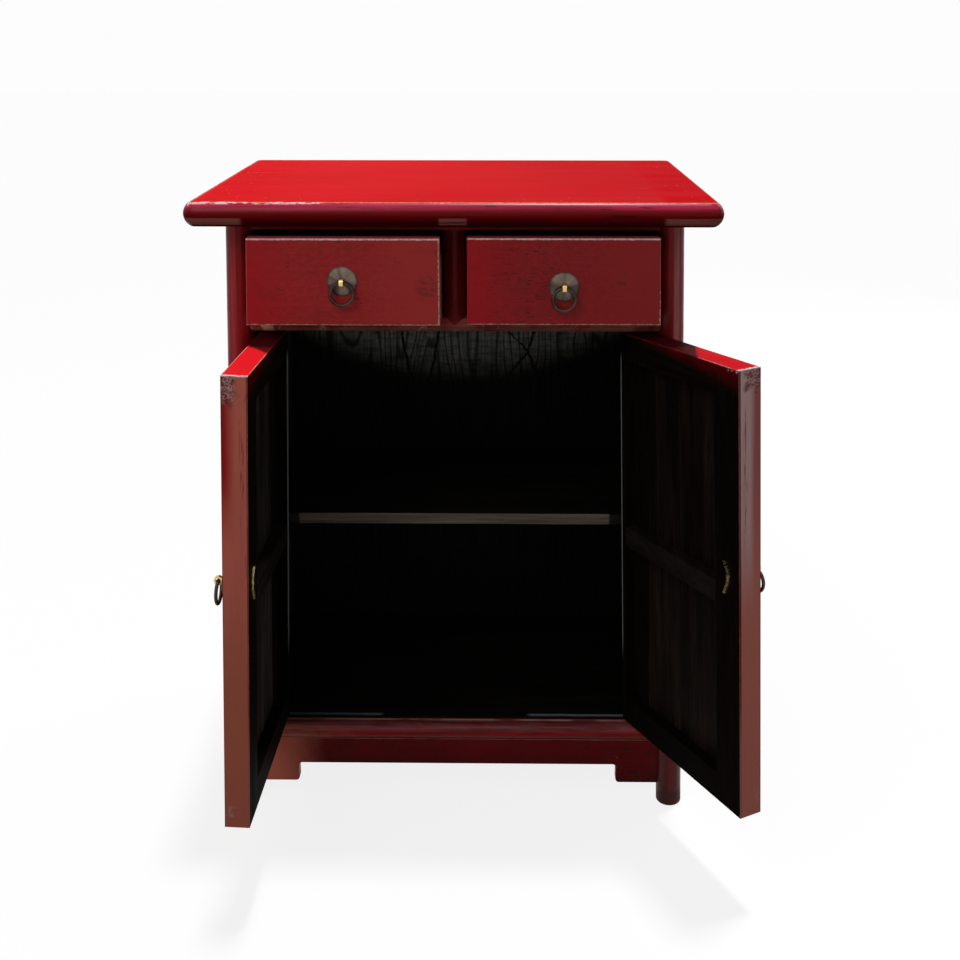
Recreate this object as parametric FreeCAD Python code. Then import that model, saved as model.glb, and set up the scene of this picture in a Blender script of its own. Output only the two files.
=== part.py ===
import FreeCAD, Part
import math
import os

# Small lacquered cabinet with two drawers over a pair of doors.
# Millimetres. X to the right, Y to the back, Z up. The origin is on the floor under the middle of the top.
# Doors stand open and drawers are pulled out a little, as in the picture the cabinet is taken from.

# Whole cabinet
TOP_WIDTH = 530.0
TOP_DEPTH = 380.0
TOP_THICK = 24.0
HEIGHT = 698.0
UNDER_TOP = HEIGHT - TOP_THICK
LEAN = 2.0                   # sideways lean of the posts in degrees

# Top
EDGE_ROUND = 13.5            # radius of the round nose, more than half the thickness, so arrises remain
CORNER_ROUND = 14.0          # corners seen from above
FRAME_WIDTH = 62.0
PANEL_THICK = 12.0
TOP_BATTEN_X = 85.0
TOP_BATTEN_WIDTH = 36.0

# Posts
POST_RADIUS = 14.0
POST_X = 219.2               # centre of a post right under the top
POST_Y = 132.0
POST_TENON_RADIUS = 7.0
POST_TENON_LENGTH = 12.0
FOOT_ROUND = 3.0

# Rails, heights above the floor
UPPER_LOW = 664.0            # upper front rail
SIDE_UPPER_LOW = 650.0       # upper rails of the sides and the back
MIDDLE_LOW, MIDDLE_HIGH = 556.5, 572.5
SILL_LOW, SILL_HIGH = 79.5, 97.5
RAIL_FRONT, RAIL_BACK = 9.0, 13.0      # front rail before and behind the post centre
SIDE_RAIL_HALF = 9.0
BACK_RAIL_HALF = 9.0
TENON_HALF = 3.5
TENON_STOP = 4.5             # rail tenons end this far from the post centre
DIVIDER_HALF = 12.0

# Panels and aprons
SIDE_PANEL_HALF = 4.0
GROOVE = 5.0
APRON_HALF = 5.0
APRON_CUT = 47.5             # height of the straight part of the cut-out
APRON_FOOT = 24.5            # underside of the lowered ends
APRON_STEP_X = 181.0         # where the front apron steps down
APRON_STEP_Y = 82.0          # where a side apron steps down
APRON_CORNER = 4.0

# Inside
DUST_THICK = 10.0
BOTTOM_THICK = 12.0
SHELF_HIGH, SHELF_THICK = 333.0, 12.0
SHELF_FRONT = -87.0
CLEAT = 14.0
GUIDE_X = 203.5

# Drawers
DRAWER_LOW, DRAWER_HIGH = 574.0, 662.0
DRAWER_FACE = -140.0
DRAWER_FRONT_THICK = 17.0
DRAWER_GAP = 1.5
DRAWER_SIDE = 9.0
DRAWER_SIDE_HIGH = 640.0
DRAWER_OUTSIDE = 202.5
DRAWER_END = 105.0
DRAWER_BOTTOM = 5.0
DRAWER_OUT_LEFT, DRAWER_OUT_RIGHT = 42.0, 38.0
DRAWER_PULL_X = 110.0
DRAWER_PULL_LEFT, DRAWER_PULL_RIGHT = 619.5, 613.5      # heights of the two pulls

# Doors
DOOR_LOW, DOOR_HIGH = 99.0, 554.5
DOOR_THICK = 24.5
DOOR_GAP = 1.5
PIVOT_IN = 18.0              # pivot axis to the hinge edge, also the rounding of that edge
PIVOT_Y = -128.0
PIVOT_RADIUS = 5.0
PIVOT_PLAY = 0.06
PIVOT_TOP, PIVOT_HOLE_TOP = 566.0, 567.5
PIVOT_FOOT, PIVOT_HOLE_FOOT = 89.5, 88.5
MEETING_GAP = 0.75
STILE = 40.0
MEETING_STILE = 38.0
DOOR_RAIL = 30.0
DOOR_LIP = 8.0               # inside edge of the hinge stile beside the sunk panel
DOOR_PANEL_SET_BACK = 2.0
DOOR_PANEL_THICK = 10.0
BATTEN_LOW, BATTEN_HIGH = 315.0, 337.0
LEFT_OPEN, RIGHT_OPEN = 90.9, 116.0
DOOR_PULL_X, DOOR_PULL_Z = 17.5, 350.0

# Pulls
PLATE_RADIUS = 15.0
PLATE_RIM = 0.9
PLATE_DOME = 3.6
RING_RADIUS = 11.3
RING_WIRE = 1.7
EYE_OUTER, EYE_INNER = 4.4, 2.6
EYE_WIDTH = 4.0
RING_SAG = 0.4               # the ring wire hangs this far below the middle of the eye
SHANK_RADIUS = 2.2
LEG_WIDTH, LEG_THICK = 3.6, 1.8
UPPER_LEG, LOWER_LEG = 13.0, -20.0     # how far the two legs of a pin reach up and down
LEG_SPREAD = 6.0             # how far their ends lean sideways

V = FreeCAD.Vector
TAN = math.tan(math.radians(LEAN))
COS = math.cos(math.radians(LEAN))
X_AXIS, Y_AXIS, Z_AXIS = V(1, 0, 0), V(0, 1, 0), V(0, 0, 1)
DOOR_FACE = PIVOT_Y - DOOR_THICK / 2
DOOR_INSIDE = PIVOT_Y + DOOR_THICK / 2


def side_x(u, z):
    """X of the leaning plane that lies u outside the post centres, at height z."""
    return POST_X + (UNDER_TOP - z) * TAN + u / COS


def block(x0, x1, y0, y1, z0, z1):
    return Part.makeBox(x1 - x0, y1 - y0, z1 - z0, V(x0, y0, z0))


def outline(points):
    return Part.Face(Part.makePolygon(points + points[:1]))


def upright(points, y0, y1):
    """Board with an outline in X and Z and its thickness along Y."""
    return outline([V(x, y0, z) for x, z in points]).extrude(V(0, y1 - y0, 0))


def between(u, y0, y1, z0, z1):
    """Board whose two ends follow the leaning sides."""
    low = [(-side_x(u, z0), z0), (side_x(u, z0), z0)]
    high = [(side_x(u, z1), z1), (-side_x(u, z1), z1)]
    return upright(low + high, y0, y1)


def against_side(x_inside, u, y0, y1, z0, z1):
    """Strip with a plumb inner face and an outer face that follows the right side."""
    return upright([(x_inside, z0), (side_x(u, z0), z0), (side_x(u, z1), z1), (x_inside, z1)], y0, y1)


def side_strip(u0, u1, y0, y1, z0, z1):
    """Strip between two planes that follow the lean of the right side."""
    low = [(side_x(u0, z0), z0), (side_x(u1, z0), z0)]
    high = [(side_x(u1, z1), z1), (side_x(u0, z1), z1)]
    return upright(low + high, y0, y1)


def lean(shape):
    """Tilt a shape drawn upright at the right-hand posts to their lean."""
    return shape.rotated(V(POST_X, 0, UNDER_TOP), Y_AXIS, -LEAN)


def mirrored(shape):
    return shape.mirror(V(0, 0, 0), X_AXIS)


def pair(shape):
    return Part.makeCompound([mirrored(shape), shape])


def main_solid(shape):
    return max(shape.Solids, key=lambda solid: solid.Volume)


def half_round(half_length, front, back, z0, z1):
    """Rail along X, rounded in front, drawn about the post centre line."""
    radius = (z1 - z0) / 2
    x = -half_length
    nose = Part.Arc(V(x, radius - front, z1), V(x, -front, z0 + radius), V(x, radius - front, z0)).toShape()
    under = Part.makeLine(V(x, radius - front, z0), V(x, back, z0))
    behind = Part.makeLine(V(x, back, z0), V(x, back, z1))
    above = Part.makeLine(V(x, back, z1), V(x, radius - front, z1))
    return Part.Face(Part.Wire([nose, under, behind, above])).extrude(V(2 * half_length, 0, 0))


def turned_to_side(rail):
    """Move a rail drawn along X to the right side, its front outwards, and lean it."""
    return lean(rail.rotated(V(0, 0, 0), Z_AXIS, 90).translated(V(POST_X, 0, 0)))


# Posts before their mortises
def raw_post(y):
    post = lean(Part.makeCylinder(POST_RADIUS, UNDER_TOP + 60, V(POST_X, y, -30)))
    post = post.common(block(0, TOP_WIDTH, -TOP_DEPTH, TOP_DEPTH, 0, UNDER_TOP))
    foot = [edge for edge in post.Edges if edge.BoundBox.ZMax < 0.001]
    return post.makeFillet(FOOT_ROUND, foot)


def post_tenon(y):
    tenon = lean(Part.makeCylinder(POST_TENON_RADIUS, 60, V(POST_X, y, UNDER_TOP - 30)))
    high = UNDER_TOP + POST_TENON_LENGTH
    return tenon.common(block(0, TOP_WIDTH, -TOP_DEPTH, TOP_DEPTH, UNDER_TOP, high))


front_post = raw_post(-POST_Y)
back_post = raw_post(POST_Y)
all_posts = [front_post, back_post, mirrored(front_post), mirrored(back_post)]


def notched(board):
    return main_solid(board.cut(all_posts))


# Rails along X, scribed to the posts and tenoned into them
def cross_rail(raw, y, z0, z1):
    rail = notched(raw)
    middle = (z0 + z1) / 2
    inner = side_x(-POST_RADIUS, middle) - 6
    tenon = block(inner, side_x(-TENON_STOP, middle), y - TENON_HALF, y + TENON_HALF, z0 + 3, z1 - 3)
    return rail.fuse([tenon, mirrored(tenon)]).removeSplitter()


def back_rail(z0, z1):
    return cross_rail(between(0, POST_Y - BACK_RAIL_HALF, POST_Y + BACK_RAIL_HALF, z0, z1), POST_Y, z0, z1)


def front_rail(z0, z1):
    half_length = side_x(0, (z0 + z1) / 2)
    raw = half_round(half_length, RAIL_FRONT, RAIL_BACK, z0, z1).translated(V(0, -POST_Y, 0))
    return cross_rail(raw, -POST_Y, z0, z1)


rail_back = -POST_Y + RAIL_BACK
upper_raw = between(0, -POST_Y - 8, rail_back, UPPER_LOW, UNDER_TOP)
upper_front_rail = cross_rail(upper_raw, -POST_Y, UPPER_LOW, UNDER_TOP)
upper_back_rail = back_rail(SIDE_UPPER_LOW, UNDER_TOP)
lower_back_rail = back_rail(SILL_LOW, SILL_HIGH)
middle_rail = front_rail(MIDDLE_LOW, MIDDLE_HIGH)
sill_rail = front_rail(SILL_LOW, SILL_HIGH)


# Rails of the right side, scribed to the posts and to the front rails behind them
def side_rail(raw, z0, z1):
    rail = main_solid(raw.cut([front_post, back_post]))
    reach = POST_Y - TENON_STOP
    tenon_low, tenon_high = z0 + 3, z1 - 5.5
    tenon = block(-reach, reach, -TENON_HALF, TENON_HALF, tenon_low, tenon_high)
    short = POST_Y - POST_RADIUS - 6
    tenon = tenon.cut(block(-short, short, -TENON_HALF, TENON_HALF, tenon_low, tenon_high))
    return rail.fuse(turned_to_side(tenon).Solids).removeSplitter()


upper_side_raw = block(-POST_Y, POST_Y, -SIDE_RAIL_HALF, SIDE_RAIL_HALF, SIDE_UPPER_LOW, UNDER_TOP + 5)
under_the_top = block(0, TOP_WIDTH, -TOP_DEPTH, TOP_DEPTH, 0, UNDER_TOP)
upper_side_raw = turned_to_side(upper_side_raw).common(under_the_top)
upper_side_rail = side_rail(upper_side_raw, SIDE_UPPER_LOW + 4, UNDER_TOP)
lower_side_raw = turned_to_side(half_round(POST_Y, SIDE_RAIL_HALF, SIDE_RAIL_HALF, SILL_LOW, SILL_HIGH))
lower_side_rail = side_rail(lower_side_raw, SILL_LOW, SILL_HIGH)
upper_side_rail = main_solid(upper_side_rail.cut(upper_front_rail))
lower_side_rail = main_solid(lower_side_rail.cut(sill_rail))

# Side panel in grooves of the posts and of the two side rails
panel_reach = POST_Y - POST_RADIUS + GROOVE
side_panel = turned_to_side(block(-panel_reach, panel_reach, -SIDE_PANEL_HALF, SIDE_PANEL_HALF,
                                  SILL_HIGH - GROOVE, SIDE_UPPER_LOW + GROOVE))
upper_side_rail = upper_side_rail.cut(side_panel)
lower_side_rail = lower_side_rail.cut(side_panel)

# Back panel in grooves of the back posts and rails
groove_u = GROOVE - POST_RADIUS
back_inside = POST_Y - 4
back_panel = between(groove_u, back_inside, POST_Y + 4, SILL_HIGH - GROOVE, SIDE_UPPER_LOW + GROOVE)
upper_back_rail = upper_back_rail.cut(back_panel)
lower_back_rail = lower_back_rail.cut(back_panel)


# Aprons, straight in the middle and stepping down beside the feet
def apron_board(step, end_high, end_low, y0, y1):
    """Upright board with the cut-out in its lower edge, the corners of the steps rounded."""
    right = [(step, APRON_CUT), (step, APRON_FOOT), (end_low, APRON_FOOT), (end_high, SILL_LOW)]
    board = upright(right + [(-x, z) for x, z in reversed(right)], y0, y1)
    across = [e for e in board.Edges if e.BoundBox.ZLength < 0.01]
    corners = [e for e in across if abs(abs(e.CenterOfMass.x) - step) < 0.01]
    return board.makeFillet(APRON_CORNER, corners)


front_apron = apron_board(APRON_STEP_X, side_x(-10, SILL_LOW), side_x(-10, APRON_FOOT),
                          -POST_Y - APRON_HALF + 1, -POST_Y + APRON_HALF + 1)
side_reach = POST_Y - 10
side_apron = turned_to_side(apron_board(APRON_STEP_Y, side_reach, side_reach, -APRON_HALF, APRON_HALF))

# Bottom board tongued into the rails around it
board_low = SILL_HIGH - BOTTOM_THICK
board_end = POST_Y - BACK_RAIL_HALF
bottom_board = between(-SIDE_RAIL_HALF, rail_back, board_end, board_low, SILL_HIGH)
tongue = between(3 - SIDE_RAIL_HALF, rail_back - 3, board_end + 3, board_low + 1, board_low + 5)
bottom_board = notched(bottom_board.fuse(tongue).removeSplitter())
sill_rail = sill_rail.cut(bottom_board)
lower_side_rail = lower_side_rail.cut(bottom_board)
lower_back_rail = lower_back_rail.cut(bottom_board)

# Board under the drawers, tongued into the middle rail and carried by cleats
dust_low = MIDDLE_HIGH - DUST_THICK
dust_board = between(-SIDE_PANEL_HALF, rail_back, back_inside, dust_low, MIDDLE_HIGH)
dust_tongue = block(-170, 170, rail_back - 3, rail_back, dust_low + 3, dust_low + 7)
dust_board = notched(dust_board.fuse(dust_tongue).removeSplitter())
middle_rail = middle_rail.cut(dust_board)


def cleat(y0, high):
    inside = side_x(-SIDE_PANEL_HALF, high) - CLEAT
    return against_side(inside, -SIDE_PANEL_HALF, y0, 112, high - CLEAT, high)


dust_cleat = cleat(-100, dust_low)

# Divider and guides between and beside the drawers
nose_y = DIVIDER_HALF - POST_Y - RAIL_FRONT
divider = Part.makeCylinder(DIVIDER_HALF, UPPER_LOW - dust_low, V(0, nose_y, dust_low))
divider = divider.common(block(-DIVIDER_HALF, DIVIDER_HALF, -TOP_DEPTH, nose_y, dust_low, UPPER_LOW))
divider = divider.fuse(block(-DIVIDER_HALF, DIVIDER_HALF, nose_y, rail_back, dust_low, UPPER_LOW))
divider = main_solid(divider.removeSplitter().cut([middle_rail, dust_board]))
divider_tenon = block(-5, 5, -POST_Y - 2, -POST_Y + 5, MIDDLE_HIGH - 6, UPPER_LOW + 6)
drawer_divider = divider.fuse(divider_tenon).removeSplitter()
middle_rail = middle_rail.cut(drawer_divider)
upper_front_rail = upper_front_rail.cut(drawer_divider)
middle_guide = block(-DIVIDER_HALF, DIVIDER_HALF, rail_back, back_inside, MIDDLE_HIGH, MIDDLE_HIGH + 18)
side_guide = against_side(GUIDE_X, -SIDE_PANEL_HALF, -105, 110, MIDDLE_HIGH, MIDDLE_HIGH + 14)
drawer_guides = Part.makeCompound([mirrored(side_guide), middle_guide, side_guide])

# Shelf on two cleats
shelf_low = SHELF_HIGH - SHELF_THICK
shelf = notched(between(-SIDE_PANEL_HALF, SHELF_FRONT, back_inside, shelf_low, SHELF_HIGH))
shelf_cleat = cleat(SHELF_FRONT, shelf_low)

# Door pivots turn in blind holes in the middle rail and the bottom rail
pivot_u = -POST_RADIUS - DOOR_GAP - PIVOT_IN
flat_u = pivot_u + math.sqrt(PIVOT_IN ** 2 - (DOOR_THICK / 2) ** 2)


def pivot_rod(radius, z0, z1):
    rod = lean(Part.makeCylinder(radius, 700, V(POST_X + pivot_u, PIVOT_Y, 20)))
    return rod.common(block(0, TOP_WIDTH, -TOP_DEPTH, TOP_DEPTH, z0, z1))


upper_hole = pivot_rod(PIVOT_RADIUS + PIVOT_PLAY, MIDDLE_LOW - 1, PIVOT_HOLE_TOP)
lower_hole = pivot_rod(PIVOT_RADIUS + PIVOT_PLAY, PIVOT_HOLE_FOOT, SILL_HIGH + 1)
middle_rail = middle_rail.cut([upper_hole, mirrored(upper_hole)])
sill_rail = sill_rail.cut([lower_hole, mirrored(lower_hole)])

# Mortises and grooves in the posts, and the tenons that enter the top
side_pieces = [upper_side_rail, lower_side_rail, side_panel, side_apron]
front_pieces = [upper_front_rail, middle_rail, sill_rail, front_apron]
back_pieces = [upper_back_rail, lower_back_rail, back_panel]
front_post = main_solid(front_post.cut(front_pieces + side_pieces))
back_post = main_solid(back_post.cut(back_pieces + side_pieces))
front_tenon = post_tenon(-POST_Y)
back_tenon = post_tenon(POST_Y)
front_post = front_post.fuse(front_tenon).removeSplitter()
back_post = back_post.fuse(back_tenon).removeSplitter()

# Top: a blank with a round nose, planed flat above and below, divided into a mitred frame and a flush panel
half_w, half_d = TOP_WIDTH / 2, TOP_DEPTH / 2
nose_z, nose_half = UNDER_TOP + TOP_THICK / 2, EDGE_ROUND + 0.1
blank = block(-half_w, half_w, -half_d, half_d, nose_z - nose_half, nose_z + nose_half)
blank = blank.makeFillet(CORNER_ROUND, [e for e in blank.Edges if e.BoundBox.ZLength > TOP_THICK - 1])
blank = blank.makeFillet(EDGE_ROUND, [e for e in blank.Edges if e.BoundBox.ZLength < 0.001])
blank = blank.common(block(-half_w, half_w, -half_d, half_d, UNDER_TOP, HEIGHT))
inner_x, inner_y = half_w - FRAME_WIDTH, half_d - FRAME_WIDTH
panel_low = HEIGHT - PANEL_THICK
top_panel = block(-inner_x, inner_x, -inner_y, inner_y, panel_low, HEIGHT)
top_tongue = block(-inner_x - 6, inner_x + 6, -inner_y - 6, inner_y + 6, panel_low + 3, panel_low + 7)
top_panel = top_panel.fuse(top_tongue).removeSplitter()


def top_batten(x):
    half = TOP_BATTEN_WIDTH / 2
    batten = block(x - half, x + half, -inner_y, inner_y, UNDER_TOP + 1, panel_low)
    tenon = block(x - half + 6, x + half - 6, -inner_y - 8, inner_y + 8, UNDER_TOP + 3, panel_low - 2)
    return batten.fuse(tenon).removeSplitter()


battens = [top_batten(-TOP_BATTEN_X), top_batten(TOP_BATTEN_X)]
tenons = [front_tenon, back_tenon, mirrored(front_tenon), mirrored(back_tenon)]


def frame_board(corners):
    far = 40.0
    points = []
    for sx, sy in corners:
        points.append(V(sx * (half_w + far), sy * (half_d + far), UNDER_TOP - 1))
    for sx, sy in reversed(corners):
        points.append(V(sx * inner_x, sy * inner_y, UNDER_TOP - 1))
    wedge = outline(points).extrude(V(0, 0, TOP_THICK + 2))
    return main_solid(blank.common(wedge).cut([top_panel] + battens + tenons))


top_front = frame_board([(-1, -1), (1, -1)])
top_back = frame_board([(1, 1), (-1, 1)])
top_right = frame_board([(1, -1), (1, 1)])
top_left = frame_board([(-1, 1), (-1, -1)])


# Pulls, drawn for a front face that looks towards the viewer
def dome_plate(x, face, z):
    rise = PLATE_DOME - PLATE_RIM
    sphere_radius = (PLATE_RADIUS ** 2 + rise ** 2) / (2 * rise)
    rim = Part.makeCylinder(PLATE_RADIUS, PLATE_RIM, V(x, face, z), V(0, -1, 0))
    ball = Part.makeSphere(sphere_radius, V(x, face - PLATE_DOME + sphere_radius, z))
    core = Part.makeCylinder(PLATE_RADIUS, PLATE_DOME + 1, V(x, face - PLATE_RIM, z), V(0, -1, 0))
    cap = ball.common(core)
    return rim.fuse(cap).removeSplitter()


def eye_y(face):
    return face - PLATE_DOME - EYE_OUTER + 0.5


def pin_leg(x, inside, z, length):
    """Flat leg of a split pin, bent over the inside and leaning away beyond a kink."""
    half = LEG_WIDTH / 2
    start_z = z - math.copysign(2.0, length)
    bend_x, bend_z = x + 0.1 * LEG_SPREAD, z + 0.4 * length
    end_x, end_z = x + LEG_SPREAD, z + length
    rising = [(x + half, start_z), (bend_x + half, bend_z), (end_x + half, end_z)]
    falling = [(end_x - half, end_z), (bend_x - half, bend_z), (x - half, start_z)]
    return upright(rising + falling, inside, inside + LEG_THICK)


def split_pin(x, face, inside, z):
    start = V(x - EYE_WIDTH / 2, eye_y(face), z)
    hole = Part.makeCylinder(EYE_INNER, EYE_WIDTH, start, X_AXIS)
    eye = Part.makeCylinder(EYE_OUTER, EYE_WIDTH, start, X_AXIS)
    shank_start = eye_y(face) + EYE_INNER + 0.8
    shank_end = inside + LEG_THICK / 2
    shank = Part.makeCylinder(SHANK_RADIUS, shank_end - shank_start, V(x, shank_start, z), Y_AXIS)
    legs = [pin_leg(x, inside, z, UPPER_LEG), pin_leg(x, inside, z, LOWER_LEG)]
    return eye.fuse([shank] + legs).cut(hole).removeSplitter()


def pull_ring(x, face, z):
    centre = V(x, eye_y(face), z - RING_SAG - RING_RADIUS)
    return Part.makeTorus(RING_RADIUS, RING_WIRE, centre, Y_AXIS)


# Right drawer, pushed home
def drawer(pull_z):
    face, back_of_front = DRAWER_FACE, DRAWER_FACE + DRAWER_FRONT_THICK
    edge_u = -POST_RADIUS - DRAWER_GAP
    inner = DIVIDER_HALF + DRAWER_GAP
    front = against_side(inner, edge_u, face, back_of_front, DRAWER_LOW, DRAWER_HIGH)
    front = front.makeFillet(2.0, [e for e in front.Edges if e.BoundBox.YMax < face + 0.001])
    low = MIDDLE_HIGH + 0.5
    sides = []
    for x in (inner, DRAWER_OUTSIDE - DRAWER_SIDE):
        side = block(x, x + DRAWER_SIDE, back_of_front, DRAWER_END, low, DRAWER_SIDE_HIGH)
        stub_end = x + DRAWER_SIDE - 1
        stub = block(x + 1, stub_end, back_of_front - 7, back_of_front, low + 16, DRAWER_SIDE_HIGH - 6)
        sides.append(side.fuse(stub).removeSplitter())
    floor_low = low + 7
    first, last = inner + DRAWER_SIDE, DRAWER_OUTSIDE - DRAWER_SIDE
    floor_high = floor_low + DRAWER_BOTTOM
    floor = block(first - 3, last + 3, back_of_front - 3, DRAWER_END, floor_low, floor_high)
    back = block(first - 4, last + 4, DRAWER_END - 12, DRAWER_END - 3, floor_high, DRAWER_SIDE_HIGH - 6)
    pin = split_pin(DRAWER_PULL_X, face, back_of_front, pull_z)
    plate = dome_plate(DRAWER_PULL_X, face, pull_z).cut(pin)
    return {
        "front": front.cut(sides + [floor, pin]),
        "sides": Part.makeCompound([side.cut([floor, back]) for side in sides]),
        "back": back,
        "bottom": floor,
        "plate": plate,
        "pin": pin,
        "ring": pull_ring(DRAWER_PULL_X, face, pull_z),
    }


# Right door, closed
def hinge_stile():
    u_in = -POST_RADIUS - DOOR_GAP - STILE
    a = V(POST_X + u_in, DOOR_FACE, 40)
    b = V(POST_X + flat_u, DOOR_FACE, 40)
    c = V(POST_X + pivot_u + PIVOT_IN, PIVOT_Y, 40)
    d = V(POST_X + flat_u, DOOR_INSIDE, 40)
    e = V(POST_X + u_in, DOOR_INSIDE, 40)
    edges = [Part.makeLine(a, b), Part.Arc(b, c, d).toShape(), Part.makeLine(d, e), Part.makeLine(e, a)]
    raw = lean(Part.Face(Part.Wire(edges)).extrude(V(0, 0, 600)))
    stile = raw.common(block(0, TOP_WIDTH, -TOP_DEPTH, TOP_DEPTH, DOOR_LOW, DOOR_HIGH))
    upper_pivot = pivot_rod(PIVOT_RADIUS, DOOR_HIGH - 5, PIVOT_TOP)
    lower_pivot = pivot_rod(PIVOT_RADIUS, PIVOT_FOOT, DOOR_LOW + 5)
    return stile.fuse([upper_pivot, lower_pivot]).removeSplitter()


def door():
    u_in = -POST_RADIUS - DOOR_GAP - STILE
    edge = MEETING_GAP + MEETING_STILE
    stile = hinge_stile()
    meeting = block(MEETING_GAP, edge, DOOR_FACE, DOOR_INSIDE, DOOR_LOW, DOOR_HIGH)
    rails = []
    for z0, z1 in ((DOOR_LOW, DOOR_LOW + DOOR_RAIL), (DOOR_HIGH - DOOR_RAIL, DOOR_HIGH)):
        rail = against_side(edge, u_in, DOOR_FACE, DOOR_INSIDE, z0, z1)
        tenon = against_side(edge - 15, u_in + 15, PIVOT_Y - 4, PIVOT_Y + 4, z0 + 8, z1 - 8)
        rails.append(rail.fuse(tenon).removeSplitter())
    low, high = DOOR_LOW + DOOR_RAIL, DOOR_HIGH - DOOR_RAIL
    skin = DOOR_FACE + DOOR_PANEL_SET_BACK
    panel = against_side(edge, u_in, skin, skin + DOOR_PANEL_THICK, low, high)
    tongue = against_side(edge - GROOVE, u_in + GROOVE, skin + 3, skin + 8, low - GROOVE, high + GROOVE)
    panel = panel.fuse(tongue).removeSplitter()
    behind = skin + DOOR_PANEL_THICK
    lip_u = flat_u - DOOR_LIP
    sunk = side_strip(u_in - 1, lip_u, behind, DOOR_INSIDE + 1, low, high)
    batten = against_side(edge, lip_u, behind, DOOR_INSIDE, BATTEN_LOW, BATTEN_HIGH)
    stub = against_side(edge - 8, lip_u + 4, behind + 3, DOOR_INSIDE - 3, BATTEN_LOW + 4, BATTEN_HIGH - 4)
    batten = batten.fuse(stub).removeSplitter()
    pin = split_pin(DOOR_PULL_X, DOOR_FACE, DOOR_INSIDE, DOOR_PULL_Z)
    plate = dome_plate(DOOR_PULL_X, DOOR_FACE, DOOR_PULL_Z).cut(pin)
    return {
        "hinge_stile": stile.cut(rails + [panel, sunk, batten]),
        "meeting_stile": meeting.cut(rails + [panel, batten, pin]),
        "rails": Part.makeCompound([rail.cut(panel) for rail in rails]),
        "panel": panel,
        "batten": batten,
        "plate": plate,
        "pin": pin,
        "ring": pull_ring(DOOR_PULL_X, DOOR_FACE, DOOR_PULL_Z),
    }


nodes = {
    "top_front": top_front,
    "top_back": top_back,
    "top_left": top_left,
    "top_right": top_right,
    "top_panel": top_panel,
    "top_battens": Part.makeCompound(battens),
    "post_front_left": mirrored(front_post),
    "post_front_right": front_post,
    "post_back_left": mirrored(back_post),
    "post_back_right": back_post,
    "upper_front_rail": upper_front_rail,
    "upper_side_rails": pair(upper_side_rail),
    "upper_back_rail": upper_back_rail,
    "middle_rail": middle_rail,
    "drawer_divider": drawer_divider,
    "sill_rail": sill_rail,
    "lower_side_rails": pair(lower_side_rail),
    "lower_back_rail": lower_back_rail,
    "side_panel_left": mirrored(side_panel),
    "side_panel_right": side_panel,
    "back_panel": back_panel,
    "front_apron": front_apron,
    "side_aprons": pair(side_apron),
    "dust_board": dust_board,
    "dust_cleats": pair(dust_cleat),
    "drawer_guides": drawer_guides,
    "bottom_board": bottom_board,
    "shelf": shelf,
    "shelf_cleats": pair(shelf_cleat),
}

# Drawers as pulled out, doors as opened
pivot_low = V(side_x(pivot_u, 0), PIVOT_Y, 0)
pivot_up = V(-math.sin(math.radians(LEAN)), 0, COS)
pivot_low_left = V(-pivot_low.x, pivot_low.y, 0)
pivot_up_left = V(-pivot_up.x, 0, pivot_up.z)
for piece, shape in drawer(DRAWER_PULL_RIGHT).items():
    nodes["drawer_right_" + piece] = shape.translated(V(0, -DRAWER_OUT_RIGHT, 0))
for piece, shape in drawer(DRAWER_PULL_LEFT).items():
    nodes["drawer_left_" + piece] = mirrored(shape).translated(V(0, -DRAWER_OUT_LEFT, 0))
for piece, shape in door().items():
    nodes["door_right_" + piece] = shape.rotated(pivot_low, pivot_up, RIGHT_OPEN)
    nodes["door_left_" + piece] = mirrored(shape).rotated(pivot_low_left, pivot_up_left, -LEFT_OPEN)

os.makedirs("parts", exist_ok=True)
for name, shape in nodes.items():
    shape.exportStep("parts/" + name + ".step")
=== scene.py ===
import math

import bpy
from mathutils import Matrix, Vector


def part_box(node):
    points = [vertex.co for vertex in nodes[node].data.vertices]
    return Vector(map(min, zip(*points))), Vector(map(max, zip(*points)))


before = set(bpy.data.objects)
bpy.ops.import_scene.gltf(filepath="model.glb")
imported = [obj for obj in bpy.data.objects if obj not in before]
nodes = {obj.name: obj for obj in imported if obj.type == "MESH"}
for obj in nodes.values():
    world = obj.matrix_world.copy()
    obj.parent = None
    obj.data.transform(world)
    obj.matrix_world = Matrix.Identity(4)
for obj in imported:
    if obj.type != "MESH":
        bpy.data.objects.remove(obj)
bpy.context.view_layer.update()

scene = bpy.context.scene

# Places on the part, in metres
LEAN = math.radians(2.0)
POST_X, UNDER_TOP = 0.2192, 0.674
PIVOT = Vector((0.2092163, -0.128, 0.0))
PIVOT_AXIS = Vector((-math.sin(LEAN), 0.0, math.cos(LEAN)))
TOP_X, TOP_Y, TOP_Z = 0.265, 0.19, 0.698
ARRIS_X, ARRIS_Y = 0.2577, 0.1827
DOOR_FREE, DOOR_LOW, DOOR_HIGH = 0.00075, 0.099, 0.5545
DOOR_OUTER, DOOR_INNER = -0.14025, -0.11575
DOOR_PULL = (0.0175, 0.350)
RAIL_END = -0.193
APRON_TOP, APRON_STEP_X, APRON_STEP_Z = 0.0795, 0.178, 0.0475
SIDE_HALF, SIDE_LOW, SIDE_HIGH = 0.118, 0.0975, 0.650
BOTTOM_STREAK_Y = -0.1155
KNOT_X, KNOT_Z = 0.0838, 0.463
SEAMS = (0.062, -0.071)

# How far doors and drawers stand open at rest, in degrees and metres
OPEN = {"left": 90.9, "right": 116.0}
OUT = {"left": 0.042, "right": 0.038}

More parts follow.
